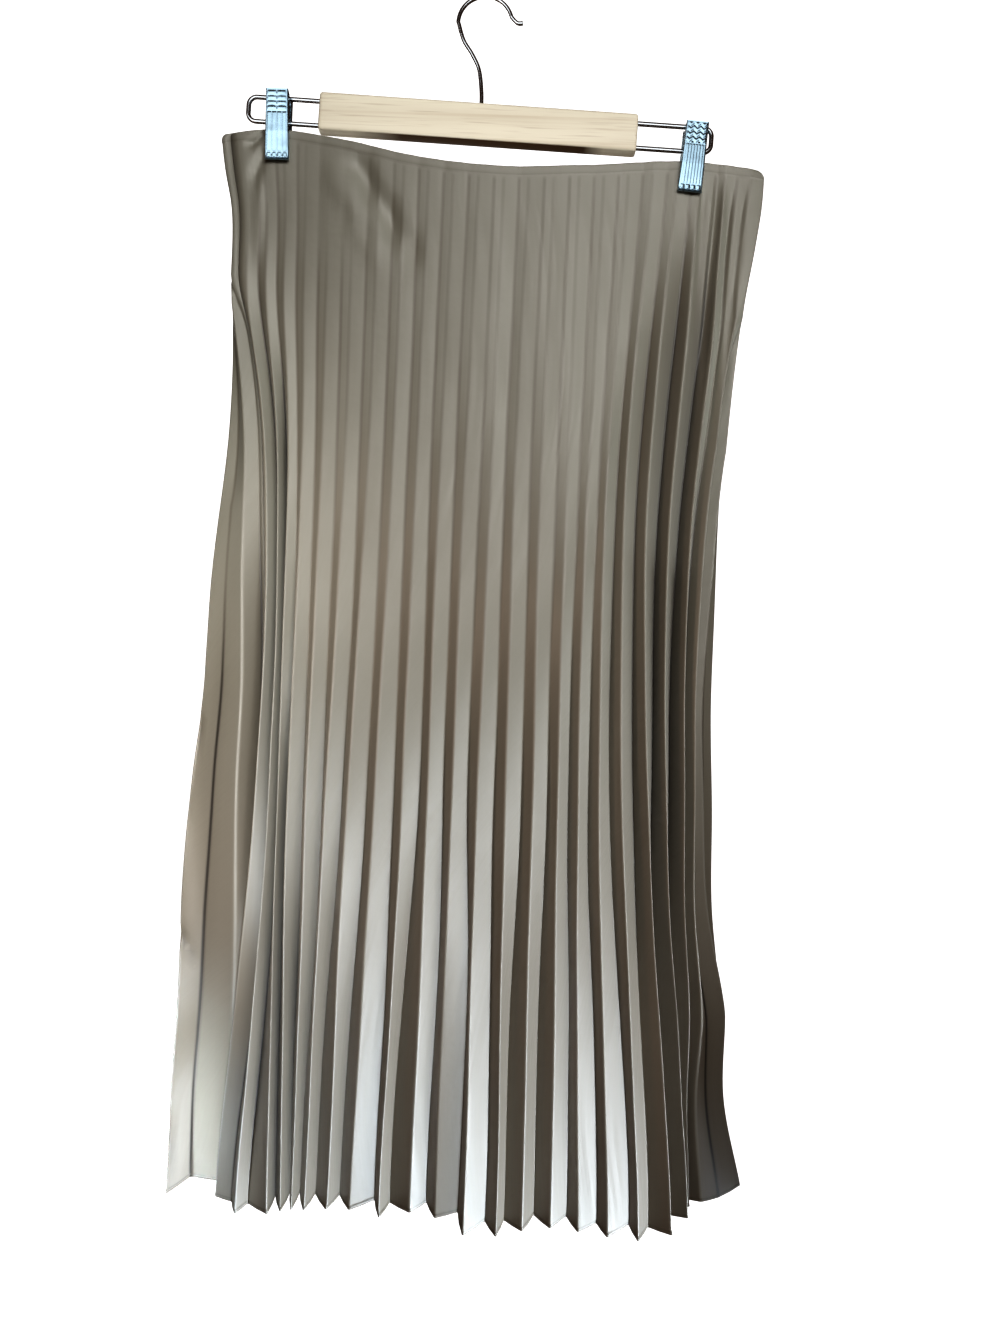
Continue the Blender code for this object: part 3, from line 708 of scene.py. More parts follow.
def shell_faces(rows, columns):
    """Faces of a closed shell made from an outer grid and an inner grid after it."""
    outer = grid_faces(rows, columns)
    inner = (outer + rows * columns)[:, ::-1]
    n = np.arange(rows * columns).reshape(rows, columns)
    edges = (n[0, :-1], n[0, 1:]), (n[-1, 1:], n[-1, :-1]), (n[1:, 0], n[:-1, 0]), (n[:-1, -1], n[1:, -1])
    rims = [np.stack([a, b, b + n.size, a + n.size], axis=-1) for a, b in edges]
    return np.concatenate([outer, inner, *rims]).tolist()


def add_panel(name, node, lines, rows, first, last, material):
    """One pleated width of the skirt as a thin closed shell on the folds' middle line.

    The shell is twice as thick in the turned margin at the top and in the narrow hem, with a
    shallow groove where each is stitched.
    """
    grid, fold = cloth_grid(lines, first, last)
    grid = round_corners(seam_trim(grid), rows)
    if name == "front_cloth":
        grid[..., 1] += bells_along(grid, CREASES)
    else:
        left = grid[:, -LEFT_COLUMNS:]
        pushed = bells_along(left, LEFT_CREASES)
        left[..., 1] += pushed
        # Painted shade in the troughs of the left side's creases
        fold[:, -LEFT_COLUMNS:] -= 0.7 * np.maximum(pushed, 0)
    normal = grid_normals(grid)
    below = rows[:, None] * np.ones((1, grid.shape[1]))
    from_hem = CLOTH_LENGTH - below
    turned = fade(below, MARGIN, 0.6)
    hemmed = fade(from_hem, HEM_TURN, 0.5)
    stitched = bell(below - MARGIN + 0.6, 0.45)
    stitched += bell(from_hem - HEM_TURN + 0.1, 0.55)
    rounded = np.minimum(1, np.minimum(below, from_hem) / 0.35 + 0.35)
    half = SHELL / 2 * (1 + 0.9 * turned + hemmed - 0.45 * stitched) * rounded
    outer = grid + normal * half[..., None]
    inner = grid - normal * half[..., None]
    step = np.linalg.norm(np.diff(grid, axis=1), axis=2)
    width = np.concatenate([np.zeros((len(rows), 1)), np.cumsum(step, axis=1)], axis=1)
    uv = np.stack([width * MM, -below * MM], axis=-1).reshape(-1, 2)
    points = np.concatenate([outer.reshape(-1, 3), inner.reshape(-1, 3)])
    piece = new_piece(name, points, shell_faces(*grid.shape[:2]), material, node)
    corner = np.zeros(len(piece.data.loops), np.int32)
    piece.data.loops.foreach_get("vertex_index", corner)
    layer = piece.data.uv_layers.new(name="cloth")
    layer.data.foreach_set("uv", np.tile(uv, (2, 1)).astype(np.float32)[corner].ravel())
    x = grid[..., 0]
    calm = np.maximum(bell(x - PULL_X, 30), smooth((-156 - x) / 12))
    free = smooth((below - MARGIN - 0.5) / 3) * (1 - calm * fade(below, 60, 60))
    # The fold value, from which the satin paints ridge highlights and shade in valleys and crevices
    set_attribute(piece.data, "fold", np.tile((fold * free).ravel(), 2))
    # Where the satin paints shade in the stitched grooves
    set_attribute(piece.data, "stitch", np.tile(stitched.ravel(), 2))
    set_attribute(piece.data, "below", np.tile(below.ravel() / CLOTH_LENGTH, 2))
    across = width[:, -1]
    cut = np.sum((across[1:] + across[:-1]) / 2 * np.diff(rows))
    return piece, across.max() * MM, cut * MM * MM


def swung(points, angle, centre_z=0):
    """Points swung in the hanger's plane about a height of its middle, right side down."""
    cosine, sine = math.cos(angle), math.sin(angle)
    x, z = points[..., 0], points[..., 2] - centre_z
    new_z = centre_z - x * sine + z * cosine
    return np.stack([x * cosine + z * sine, points[..., 1], new_z], axis=-1)


def rings(path, radius, first_way, second_way, sides):
    """Points and faces of a tube: circles round the path in two ways square to it, closed at the
    ends."""
    turn = (np.arange(sides) * 2 * math.pi / sides)[None, :, None]
    ring = np.cos(turn) * first_way[:, None] + np.sin(turn) * second_way[:, None]
    points = path[:, None] + ring * radius[:, None, None]
    return points.reshape(-1, 3), tube_faces(len(path), sides)


def wire_mesh(path, radius):
    """Points and faces of a round wire carried along a path in the hanger's plane.

    Each end shrinks over a quarter of the radius to a disc of 0.7 times it, as on a filed wire.
    """
    along = unit(np.gradient(path, axis=0))
    path = np.concatenate([path[:1], path, path[-1:]])
    path[0] -= along[0] * radius * 0.25
    path[-1] += along[-1] * radius * 0.25
    along = np.concatenate([along[:1], along, along[-1:]])
    radii = np.full(len(path), radius)
    radii[[0, -1]] *= 0.7
    up = unit(np.cross(along, [0, 1, 0]))
    return rings(path, radii, up, np.cross(up, along), 20)


def merge(parts):
    """One set of points and faces from several."""
    points, faces, start = [], [], 0
    for part_points, part_faces in parts:
        points.append(np.asarray(part_points, float))
        faces += [[corner + start for corner in face] for face in part_faces]
        start += len(part_points)
    return np.concatenate(points), faces


def hanger_piece(name, parts, material, node):
    """A hanger piece from level parts, tilted, facing outwards and with edges over 40 degrees
    kept crisp."""
    points, faces = merge(parts)
    piece = new_piece(name, swung(points, HANGER_TILT), faces, material, node)
    shape = bmesh.new()
    shape.from_mesh(piece.data)
    bmesh.ops.recalc_face_normals(shape, faces=shape.faces)
    shape.to_mesh(piece.data)
    shape.free()
    piece.data.set_sharp_from_angle(angle=math.radians(40))
    return piece


def in_plane(x, z):
    """Points in the hanger's plane."""
    return np.column_stack([x, np.zeros(len(x)), z])


def arc(centre_x, centre_z, radius, start, end, steps):
    """Points on an arc in the hanger's plane, angles in degrees from +X towards +Z."""
    angles = np.radians(np.linspace(start, end, steps))
    return in_plane(centre_x + radius * np.cos(angles), centre_z + radius * np.sin(angles))


def hook_path():
    """The hook's centre line: up the stem, out round the neck, over the crown and out at the tip."""
    crown_z = -HOOK_RADIUS + HOOK_DIAMETER / 2
    bar_top = BAR_Z + BAR_SIZE[2] / 2 - 1
    stem = [(1.5, bar_top), (0.6, -68), (-2.2, -53), (-8, -42), (-15, -32)]
    stem.append((-HOOK_RADIUS, crown_z))
    knots = np.arange(len(stem), dtype=float)
    neck = through(knots, stem, np.linspace(0, knots[-1], 60))
    over = arc(0, crown_z, HOOK_RADIUS, 180, 18, 64)[1:]
    tip = [tuple(over[-1, [0, 2]]), (21.2, -14.6), (24, -16.6), (27.5, -16.4)]
    curl = through([0, 1, 2, 3], tip, np.linspace(0, 3, 24))[1:]
    return np.concatenate([in_plane(*neck.T), over, in_plane(*curl.T)])


def loop_path(side, reach):
    """A side loop's centre line, from one hole in the bar's end to the other."""
    start = side * (BAR_SIZE[0] / 2 - 2)
    far = side * (BAR_SIZE[0] / 2 + reach - WIRE_DIAMETER / 2 - LOOP_CORNER)
    upper, lower = BAR_Z + WIRE_SPACING / 2, BAR_Z - WIRE_SPACING / 2
    up, out, down = (90, 0, -90) if side > 0 else (90, 180, 270)
    straight = np.linspace(start, far, 20)[:-1]
    top = in_plane(straight, np.full(len(straight), upper))
    first = arc(far, upper - LOOP_CORNER, LOOP_CORNER, up, out, 14)
    second = arc(far, lower + LOOP_CORNER, LOOP_CORNER, out, down, 14)
    bottom = in_plane(straight[::-1], np.full(len(straight), lower))
    return np.concatenate([top, first, second, bottom])


def bar_parts():
    """The bar: a rounded rectangle carried along it, drawn in a little at both ends."""
    length, depth, height = BAR_SIZE
    corner = 2
    turn = np.radians(np.arange(0, 90.01, 15))
    ring = []
    for quarter, (sign_y, sign_z) in enumerate(((1, 1), (-1, 1), (-1, -1), (1, -1))):
        angle = turn + quarter * math.pi / 2
        y = sign_y * (depth / 2 - corner) + corner * np.cos(angle)
        z = sign_z * (height / 2 - corner) + corner * np.sin(angle)
        ring.append(np.column_stack([y, z]))
    ring = np.concatenate(ring)
    ends = ((0, 2), (0.25, 1.05), (0.75, 0.45), (1.6, 0.1), (3, 0))
    places = [(-length / 2 + x, inset) for x, inset in ends]
    places += [(x, 0) for x in np.linspace(-length / 2 + 8, length / 2 - 8, 24)]
    places += [(length / 2 - x, inset) for x, inset in ends[::-1]]
    grid = []
    for x, inset in places:
        shrink = np.array([1 - 2 * inset / depth, 1 - 2 * inset / height])
        grid.append(np.column_stack([np.full(len(ring), x), ring * shrink]))
    grid = np.stack(grid)
    grid[..., 2] += BAR_Z
    return grid.reshape(-1, 3), tube_faces(len(places), len(ring))


# A jaw's shape at places down its length: how far out its plate lies, half of its width, and how
# deep its flanges are
JAW_ROWS = named_rows(
    "down out half flange",
    (0, 9.3, 8, 0.4),
    (1.2, 9.9, 8.05, 1.6),
    (2.5, 9.8, 8.1, 4.4),
    (12, 8.6, 8.2, 5.4),
    (19, 7.9, 8.3, 4.9),
    (34, 6.8, 8.55, 3.9),
    (45, 5.4, 8.75, 1.6),
    (50.6, 4.05, 8.9, 0.5),
    (52, 4.1, 8.95, 0.3),
    (54, 5.4, 9, 0.1),
)
PRESSED_METAL = 0.7
SPRING_TURNS = 6
JAW_BEND = 0.9
JAW_LENGTH = JAW_ROWS[-1].down


def jaw_relief(pattern, across, down):
    """How far a jaw's face is pressed out: grip pads or chevrons above, ribs below, teeth last.

    Pads are powers of sines both ways, ribs and teeth are sines' sizes across the jaw, and the
    chevrons' rows follow a zigzag across it.
    """
    if pattern == "pads":
        row = np.mod((down - 5.6) / 3.5, 1)
        column = np.mod(across + 1, 1)
        pad = np.sin(math.pi * row) ** 0.7 * np.sin(math.pi * column) ** 0.5
        grip = 0.45 * pad * ((down > 5.6) & (down < 19.6))
        ribs = 0.3 * np.abs(np.sin(math.pi * 2 * across)) ** 0.8
    else:
        zigzag = np.abs(np.mod(across * 1.5 + 0.5, 1) - 0.5) * 3.6
        row = np.mod((down - 5.2 + zigzag) / 3.7, 1)
        grip = 0.45 * np.sin(math.pi * row) ** 0.8 * ((down > 5.2) & (down < 19.5))
        ribs = 0.16 * np.abs(np.sin(math.pi * 3.5 * across)) ** 0.8
    ribs = ribs * smooth((down - 20) / 1.2) * smooth(48.5 - down)
    teeth = 0.5 * np.abs(np.sin(math.pi * 2 * across)) * smooth((down - 48.5) / 0.8)
    teeth = teeth * smooth((52 - down) / 0.8)
    inside = smooth((1 - np.abs(across)) / 0.12)
    return (grip + ribs + teeth) * inside


def jaw_grid(x, side, pattern, lean):
    """A jaw's outer face as a grid: down its length, and across from one flange's edge to the other.

    Across, the outline runs in along the flange, round a small corner, over the plate and back.
    """
    downs = np.concatenate([np.linspace(0, 1, 5), np.linspace(1.4, JAW_LENGTH, 120)])
    downs = CLIP_FACE_START + downs * (JAW_LENGTH - CLIP_FACE_START) / JAW_LENGTH
    columns = {}
    for field in ("out", "half", "flange"):
        values = [getattr(row, field) for row in JAW_ROWS]
        columns[field] = np.interp(downs, [row.down for row in JAW_ROWS], values)
    columns["flange"] *= smooth((downs - CLIP_FACE_START + 0.3) / 1.6)
    plate = np.linspace(-1, 1, 57)
    corner = np.radians(np.linspace(0, 90, 6))[:-1]
    flange_steps = np.linspace(1, 0, 5)[:-1]
    grid = []
    for out, half, flange, down in zip(*columns.values(), downs):
        deep = out - JAW_BEND - flange_steps * np.maximum(flange, 0.02)
        flange_side = np.column_stack([np.full(len(deep), -half), deep])
        round_x = -half + JAW_BEND * (1 - np.cos(corner))
        turn = np.column_stack([round_x, out - JAW_BEND + JAW_BEND * np.sin(corner)])
        left = np.concatenate([flange_side, turn])
        face = np.column_stack([plate * (half - JAW_BEND), out + jaw_relief(pattern, plate, down)])
        outline = np.concatenate([left, face, left[::-1] * [-1, 1]])
        grid.append(np.column_stack([outline * [1, side], np.full(len(outline), -down)]))
    return lean_clip(np.stack(grid), x, lean)


def lean_clip(points, x, lean):
    """Places clip points given below its top, turned about its spring by the lean in degrees."""
    return swung(points, math.radians(lean), CLIP_PIVOT) + [x, 0, CLIP_TOP_Z]


def jaw_parts(x, side, pattern, lean):
    """A pressed jaw: its outer grid and an inner one a metal's thickness behind it."""
    grid = jaw_grid(x, side, pattern, lean)
    normal = grid_normals(grid)
    inward = np.sign(np.mean(-normal[..., 1] * grid[..., 1]))
    inner = grid + normal * inward * PRESSED_METAL
    points = np.concatenate([grid.reshape(-1, 3), inner.reshape(-1, 3)])
    return points, shell_faces(*grid.shape[:2])


def spring_parts(x, lean):
    """A coil spring across the clip, and its pin: wire carried round a helix."""
    radius = 2
    t = np.linspace(0, 1, 220)
    angle = 2 * math.pi * SPRING_TURNS * t
    z = CLIP_PIVOT + radius * np.sin(angle)
    helix = np.column_stack([(t - 0.5) * 11, radius * np.cos(angle), z])
    pin = np.linspace((-7, 0, CLIP_PIVOT), (7, 0, CLIP_PIVOT), 6)
    points, faces = merge([tube_along(helix, 0.55, 8), tube_along(pin, 1.2, 16)])
    return lean_clip(points, x, lean), faces


def tube_along(path, radius, sides):
    """A round tube along any path, its rings turned by the least amount from one to the next."""
    along = unit(np.gradient(path, axis=0))
    side = np.zeros_like(along)
    now = np.cross(along[0], [0.3, 0.2, 0.93])
    for n, direction in enumerate(along):
        now = unit(now - direction * np.dot(now, direction))
        side[n] = now
    return rings(path, np.full(len(path), radius), side, np.cross(along, side), sides)


class Nodes:
    """Short ways to add and join nodes in one material or group."""

    def __init__(self, tree):
        self.tree = tree

    def add(self, kind, inputs=None, **settings):
        """A node with its settings, and its inputs set to values or joined to sockets."""
        node = self.tree.nodes.new(kind)
        for key, value in settings.items():
            setattr(node, key, value)
        for key, value in (inputs or {}).items():
            self.put(node.inputs[key], value)
        return node

    def put(self, socket, value):
        """Joins a socket to another, or sets its value."""
        if isinstance(value, bpy.types.NodeSocket):
            self.tree.links.new(value, socket)
        else:
            socket.default_value = value

    def math(self, operation, first, second):
        """The result of a Math node."""
        return self.add("ShaderNodeMath", {0: first, 1: second}, operation=operation).outputs[0]

    def times(self, first, second):
        """The product of two values."""
        return self.math("MULTIPLY", first, second)

    def attribute(self, name):
        """A value stored for each point of the cloth."""
        return self.add("ShaderNodeAttribute", attribute_name=name).outputs["Fac"]

    def finish(self, shader, colour, roughness, height, strength, distance):
        """Joins a colour, a roughness and a height that bends the normal to the shader."""
        inputs = {"Height": height, "Strength": strength, "Distance": distance}
        self.put(shader.inputs["Base Color"], colour)
        self.put(shader.inputs["Roughness"], roughness)
        self.put(shader.inputs["Normal"], self.add("ShaderNodeBump", inputs).outputs["Normal"])

    def mix(self, share, first, second):
        """A colour between two colours."""
        inputs = {0: share, 6: first, 7: second}
        return self.add("ShaderNodeMix", inputs, data_type="RGBA").outputs[2]

    def spread(self, value, low, high, to_low=0, to_high=1):
        """A value taken from one range to another, held at its ends."""
        inputs = {0: value, 1: low, 2: high, 3: to_low, 4: to_high}
        return self.add("ShaderNodeMapRange", inputs).outputs[0]

    def drawn(self, vector, scale, turn=(0, 0, 0)):
        """A vector turned and scaled by its own amount each way."""
        inputs = {"Vector": vector, "Rotation": turn, "Scale": scale}
        return self.add("ShaderNodeMapping", inputs).outputs["Vector"]

    def noise(self, vector, scale, detail=2, roughness=0.5):
        """A noise value over a vector."""
        inputs = {"Vector": vector, "Scale": scale, "Detail": detail, "Roughness": roughness}
        return self.add("ShaderNodeTexNoise", inputs).outputs["Fac"]


def new_material(name, **constants):
    """A material, its nodes helper and its shader, with the constants set on the shader."""
    material = bpy.data.materials.new(name)
    material.use_nodes = True
    shader = material.node_tree.nodes["Principled BSDF"]
    for key, value in constants.items():
        shader.inputs[key.replace("_", " ")].default_value = value
    return material, Nodes(material.node_tree), shader


def satin_material():
    """Taupe polyester satin: fine warp, slow mottling, painted ridge highlights, and painted shade low
    down, in valleys, creases, grooves and crevices.
    """
    material, n, shader = new_material(
        "taupe_satin",
        Sheen_Weight=0.12,
        Sheen_Roughness=0.4,
        Specular_IOR_Level=0.9,
    )
    where = n.add("ShaderNodeTexCoord")
    cloth = n.add("ShaderNodeUVMap", uv_map="cloth").outputs["UV"]
    fold = n.attribute("fold")
    streak = n.noise(n.drawn(cloth, (420, 9, 1)), 1, 3, 0.6)
    mottle = n.noise(where.outputs["Object"], 14, 3, 0.55)
    colour = n.mix(mottle, SATIN_DARK, SATIN_LIGHT)
    below = n.attribute("below")
    low = n.spread(below, 0.25, 0.75)
    ridge = n.math("MAXIMUM", fold, 0)
    valley_shade = n.math("MAXIMUM", n.times(fold, -1), 0)
    valley = n.math("MINIMUM", valley_shade, 1)
    deep = n.spread(valley_shade, 1, 3.2, 0, 0.92)
    # Painted shade along the ridges and valleys near the waist, fading out towards the hem
    crease_shade = n.math("ADD", n.times(ridge, 0.6), valley)
    pressed = n.times(crease_shade, n.spread(low, 0, 1, 0.6, 0))
    # Painted warm shade: the satin turns warmer and darker towards the hem
    colour = n.mix(n.times(low, 0.75), colour, SATIN_LOW_WARM_SHADE)
    colour = n.mix(pressed, colour, SATIN_CREASE_SHADE)
    # Painted highlight along the ridges, growing towards the hem
    colour = n.mix(n.times(ridge, n.times(low, 0.6)), colour, SATIN_RIDGE_HIGHLIGHT)
    # Painted shade in the valleys, growing towards the hem
    colour = n.mix(n.times(valley, n.times(low, 0.4)), colour, SATIN_CREASE_SHADE)
    # Painted shadow in the crevices
    colour = n.mix(deep, colour, SATIN_CREVICE_SHADOW)
    # Painted shade in the stitched grooves under the top margin and above the hem
    stitch = n.attribute("stitch")
    colour = n.mix(n.times(stitch, 0.75), colour, SATIN_CREASE_SHADE)
    weave = {"Vector": n.drawn(cloth, (2600, 900, 1)), "Scale": 0.16, "Distortion": 0.6}
    warp = n.add("ShaderNodeTexWave", weave)
    fine = n.times(warp.outputs["Fac"], 0.00001)
    pucker = n.times(n.noise(where.outputs["Object"], 70, 2), 0.0004)
    height = n.math("ADD", fine, n.math("ADD", pucker, n.times(streak, 0.00005)))
    n.finish(shader, colour, n.spread(streak, 0.3, 0.7, 0.46, 0.58), height, 0.6, 1)
    return material


def wood_material():
    """Pale maple: long fine grain, slow figure, small pores, and painted shade on its underside."""
    material, n, shader = new_material("pale_maple", Coat_Roughness=0.25)
    where = n.add("ShaderNodeTexCoord").outputs["Object"]

    def along_bar(scale, detail, roughness=0.5):
        """A noise drawn out along the bar."""
        return n.noise(n.drawn(where, scale, (0, -HANGER_TILT, 0)), 1, detail, roughness)

    grain = along_bar((1.6, 230, 230), 6, 0.6)
    figure = along_bar((5, 60, 60), 2)
    pores = along_bar((22, 800, 800), 2)
    colour = n.mix(n.spread(figure, 0.3, 0.7), WOOD_LIGHT, WOOD_DARK)
    colour = n.mix(n.spread(grain, 0.48, 0.70, 0, 0.5), colour, WOOD_GRAIN)
    colour = n.mix(n.spread(pores, 0.58, 0.75, 0, 0.35), colour, WOOD_PORE)
    # Painted shade: faces turned downwards darken over the middle of the bar's length
    down = n.add("ShaderNodeSeparateXYZ", {0: n.add("ShaderNodeNewGeometry").outputs["True Normal"]})
    under = n.spread(down.outputs["Z"], -0.9, -0.7, 1, 0)
    place = n.add("ShaderNodeSeparateXYZ", {0: where})
    started = n.spread(place.outputs["X"], -0.097, -0.06)
    ended = n.spread(place.outputs["X"], 0.075, 0.09, 1, 0)
    underside_shade = n.times(under, n.times(started, ended))
    colour = n.mix(underside_shade, colour, WOOD_UNDERSIDE_SHADE)
    relief = n.math("ADD", grain, n.times(pores, 0.4))
    n.finish(shader, colour, n.spread(grain, 0.3, 0.7, 0.42, 0.58), relief, 0.12, 0.0006)
    return material


def smudge_group():
    """Faint smudges and fine drawing marks on bright metal, as two values from 0 to 1."""
    tree = bpy.data.node_groups.new("metal_smudges", "ShaderNodeTree")
    for name, way, kind in (
        ("Vector", "INPUT", "Vector"),
        ("Scale", "INPUT", "Float"),
        ("Smudge", "OUTPUT", "Float"),
        ("Marks", "OUTPUT", "Float"),
    ):
        tree.interface.new_socket(name, in_out=way, socket_type="NodeSocket" + kind)
    n = Nodes(tree)
    given = n.add("NodeGroupInput").outputs
    made = n.add("NodeGroupOutput").inputs
    n.put(made["Smudge"], n.noise(given["Vector"], given["Scale"], 3, 0.6))
    finer = n.times(given["Scale"], 10)
    n.put(made["Marks"], n.noise(given["Vector"], finer, 2))
    return tree


def steel_material(name, smudges, colour, low, high):
    """Bright plated steel whose smudges dull its colour and roughen it from low to high."""
    material, n, shader = new_material(name, Metallic=1)
    marked = n.add("ShaderNodeGroup", node_tree=smudges)
    n.put(marked.inputs["Vector"], n.add("ShaderNodeTexCoord").outputs["Object"])
    n.put(marked.inputs["Scale"], SMUDGE_SCALE)
    smudge = marked.outputs["Smudge"]
    dull = tuple(c * 0.8 for c in colour[:3]) + (1,)
    colour = n.mix(n.spread(smudge, 0.45, 0.75), colour, dull)
    rough = n.spread(smudge, 0.3, 0.7, low, high)
    n.finish(shader, colour, rough, marked.outputs["Marks"], 0.1, 0.0002)
    return material


def stage_piece(name, points, faces, material=None):
    """A piece of the stage that sends no light of its own on to the skirt."""
    piece = add_mesh(name, points, faces, material)
    piece.visible_diffuse = False
    piece.visible_glossy = False
    return piece


def add_stage():
    """A pale floor with a backdrop behind it, both in one plain white material."""
    material = new_material(
        "studio_white",
        Roughness=0.9,
        Base_Color=STUDIO_WHITE,
        Emission_Color=(1, 1, 1, 1),
        Emission_Strength=0.95,
    )[0]
    across, back, floor, top = 5, 2.6, -2, 3.2
    angles = np.linspace(-math.pi / 2, 0, 16)
    bend = 0.8
    profile = [(-5, floor)]
    profile += [(back - bend + bend * math.cos(a), floor + bend + bend * math.sin(a)) for a in angles]
    profile += [(back, top)]
    profile = np.array(profile)
    sides = [np.column_stack([np.full(len(profile), x), profile]) for x in (-across, across)]
    grid = np.stack(sides, axis=1)
    stage_piece("studio_floor", grid.reshape(-1, 3), grid_faces(len(profile), 2).tolist(), material)


# Each light's place, aim and size in metres, its spread in degrees, whether it casts shadows, and
# words in the names of the pieces that it is kept to
WARM = (1, 0.985, 0.95)
COOL = (0.90, 0.96, 1)
COLD = (0.76, 0.88, 1)
CREAM = (1, 0.56, 0.36)
TAN = (1, 0.76, 0.62)
LIGHTS = named_rows(
    "name place aim size watts colour spread shadow lit",
    ("sky", (0.2, -1.3, 0.4), (0, 0, -0.12), (1, 0.8), 1.65, WARM, 64, True, "cloth bar"),
    ("key", (0.78, -1.25, -0.05), (-0.06, 0, -0.34), (0.6, 0.6), 0.88, WARM, 64, True, "cloth bar"),
    ("low_key", (0.75, -1.2, -0.5), (-0.16, 0, -0.62), (0.4, 0.5), 0.1, WARM, 40, True, "cloth"),
    ("left", (-0.6, -1.3, -0.5), (-0.24, 0, -0.52), (0.2, 0.4), 0.32, WARM, 15, True, "cloth"),
    ("fill_high", (-1.2, -0.9, -0.4), (0.1, 0, -0.52), (0.3, 0.3), 0.13, TAN, 32, True, "front_cloth"),
    ("low_left", (-0.75, -1.1, -0.9), (-0.235, 0, -0.87), (0.1, 0.2), 0.22, COLD, 10, True, "cloth"),
    ("window", (2.9, -0.03, -1.95), (-0.14, -0.03, -0.88), (0.45, 1.5), 4, COOL, 27, True, "front_cloth"),
    ("window_left", (1.2, -0.03, -1.6), (-0.17, -0.03, -0.86),
     (0.1, 0.2), 0.12, COLD, 14, False, "front_cloth"),
    ("back_window", (0.9, 0.3, -1.3), (-0.2, 0, -0.88), (0.2, 0.3), 0.2, COOL, 17, False, "back_cloth"),
    ("kicker", (0.05, -0.78, -1), (-0.21, 0, -0.86), (0.1, 0.2), 0.2, COOL, 32, True, "back_cloth"),
    ("under_bar", (-0.1, -0.5, -1.2), (0, 0, -0.11), (0.1, 0.1), 0.12, WARM, 28, False, "bar"),
    ("fill", (-1, -1.1, -0.9), (0, 0, -0.6), (0.8, 1.2), 0.22, CREAM, 120, True, ""),
    ("behind", (-0.6, 1.6, 0.1), (0, 0, -0.4), (1.2, 1.2), 5, WARM, 110, True, ""),
    ("room", (-0.3, -1.7, -0.1), (0, 0, -0.1), (2.4, 1.6), 11, COOL, 150, True, "jaw wire spring"),
)
# A card beside the right side's folds keeps the window off them: its x, and its y and z ends
FLAG_X, FLAG_Y, FLAG_Z = 0.24, (-0.012, 0.08), (-1, -0.45)


def add_flag():
    """The card that shades the right side's folds: only the window's light sees it."""
    (front, back), (low, high) = FLAG_Y, FLAG_Z
    corners = [(FLAG_X, front, low), (FLAG_X, back, low), (FLAG_X, back, high), (FLAG_X, front, high)]
    flag = stage_piece("window_flag", corners, [(0, 1, 2, 3)])
    flag.visible_camera = False
    return flag


def add_lights():
    """A soft sky and key above, cool windows low on the right, and weak ones on the left and behind.

    A light may be kept to some pieces, as a flag beside it would do: those whose names hold one of
    its words.
    """
    for row in LIGHTS:
        data = bpy.data.lights.new(row.name, "AREA")
        data.shape = "RECTANGLE"
        data.size, data.size_y = row.size
        data.energy = row.watts
        data.color = row.colour
        data.spread = math.radians(row.spread)
        data.use_shadow = row.shadow
        light = add_object(row.name, data)
        light.location = row.place
        light.rotation_euler = (Vector(row.aim) - Vector(row.place)).to_track_quat("-Z", "Y").to_euler()
        light.visible_camera = False
        if row.lit:
            lit = bpy.data.collections.new("lit_by_" + row.name)
            for piece in bpy.context.scene.objects:
                if any(word in piece.name for word in row.lit.split()):
                    lit.objects.link(piece)
            light.light_linking.receiver_collection = lit
        if row.name == "window":
            light.light_linking.blocker_collection = bpy.data.collections.new("window_blockers")
            light.light_linking.blocker_collection.objects.link(add_flag())
    world = bpy.data.worlds.new("studio")
    world.use_nodes = True
    background = world.node_tree.nodes["Background"].inputs
    background["Color"].default_value = ROOM_GLOW
    background["Strength"].default_value = 0.03
    bpy.context.scene.world = world


# The photograph's height and the camera's focal length, both in its pixels
PHOTO_HEIGHT, FOCAL_PIXELS = 1333, 1007
SENSOR = 36
CAMERA_PLACE = (0.0277, -0.745, -0.4933)
CAMERA_ROLL = math.radians(2.1)


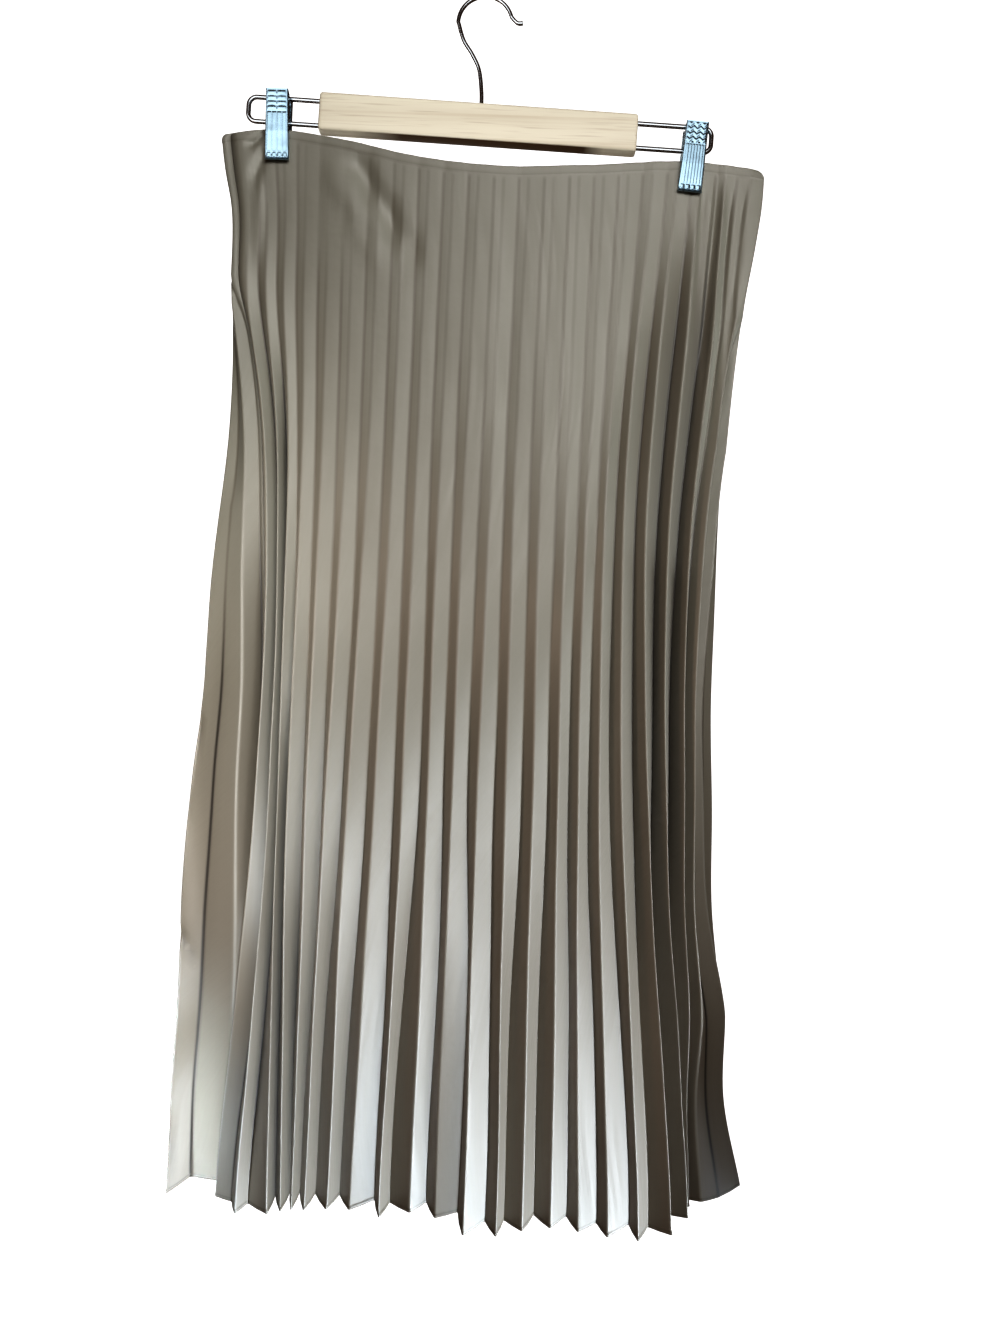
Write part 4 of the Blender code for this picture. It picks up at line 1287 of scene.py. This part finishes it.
def add_camera():
    """The photograph's camera: level with the middle of the skirt and slightly rolled."""
    data = bpy.data.cameras.new("camera")
    data.sensor_fit = "AUTO"
    data.sensor_width = SENSOR
    data.lens = SENSOR * FOCAL_PIXELS / PHOTO_HEIGHT
    data.clip_start, data.clip_end = 0.05, 30
    camera = add_object("camera", data)
    cosine, sine = math.cos(CAMERA_ROLL), math.sin(CAMERA_ROLL)
    turn = Matrix(((cosine, -sine, 0), (0, 0, -1), (sine, cosine, 0)))
    camera.rotation_euler = turn.to_euler()
    camera.location = CAMERA_PLACE
    bpy.context.scene.camera = camera


def dress_skirt(satin):
    """Both panels, and what the cut of each was before it was pleated."""
    rows = cloth_rows()
    lines = drape_waves(deepen(settle(fold_lines(rows), rows)))
    folds = 4 * PLEATS
    right_seam, left_seam = 2 * PLEATS, folds - 1
    for name, node, first, last in (
        ("front_cloth", "front_panel", left_seam - folds, right_seam),
        ("back_cloth", "back_panel", right_seam, left_seam),
    ):
        piece, width, area = add_panel(name, node, lines, rows, first, last, satin)


def dress_hanger(maple, steel, wire):
    """The bar, hook, loops and clips."""
    hanger_piece("bar", [bar_parts()], maple, "wooden_bar")
    hook = wire_mesh(hook_path(), HOOK_DIAMETER / 2)
    hanger_piece("hook_wire", [hook], wire, "hook")
    for side, sign, lean, pattern in (("left", -1, -2.4, "pads"), ("right", 1, 2.3, "chevrons")):
        loop = wire_mesh(loop_path(sign, LOOP_REACH[side]), WIRE_DIAMETER / 2)
        hanger_piece(f"{side}_loop_wire", [loop], wire, f"{side}_loop")
        x = CLIP_X[side]
        for jaw, y_side in (("front", -1), ("back", 1)):
            points, faces = jaw_parts(x, y_side, pattern, lean)
            points[:, 2] -= CLIP_DROP[side]
            name, node = f"{side}_jaw_{jaw}", f"{side}_clip_{jaw}_jaw"
            hanger_piece(name, [(points, faces)], steel, node)
        spring = spring_parts(x, lean)
        hanger_piece(f"{side}_spring", [spring], wire, f"{side}_clip_spring")


def dress():
    """The whole scene."""
    satin = satin_material()
    maple = wood_material()
    smudges = smudge_group()
    steel = steel_material("pressed_clip_steel", smudges, CLIP_STEEL, 0.24, 0.34)
    wire = steel_material("bright_wire", smudges, WIRE_STEEL, 0.10, 0.20)
    dress_hanger(maple, steel, wire)
    dress_skirt(satin)
    add_stage()
    add_lights()
    add_camera()
    bpy.context.scene.view_settings.view_transform = "Standard"
    bpy.context.scene.view_settings.look = "High Contrast"


dress()
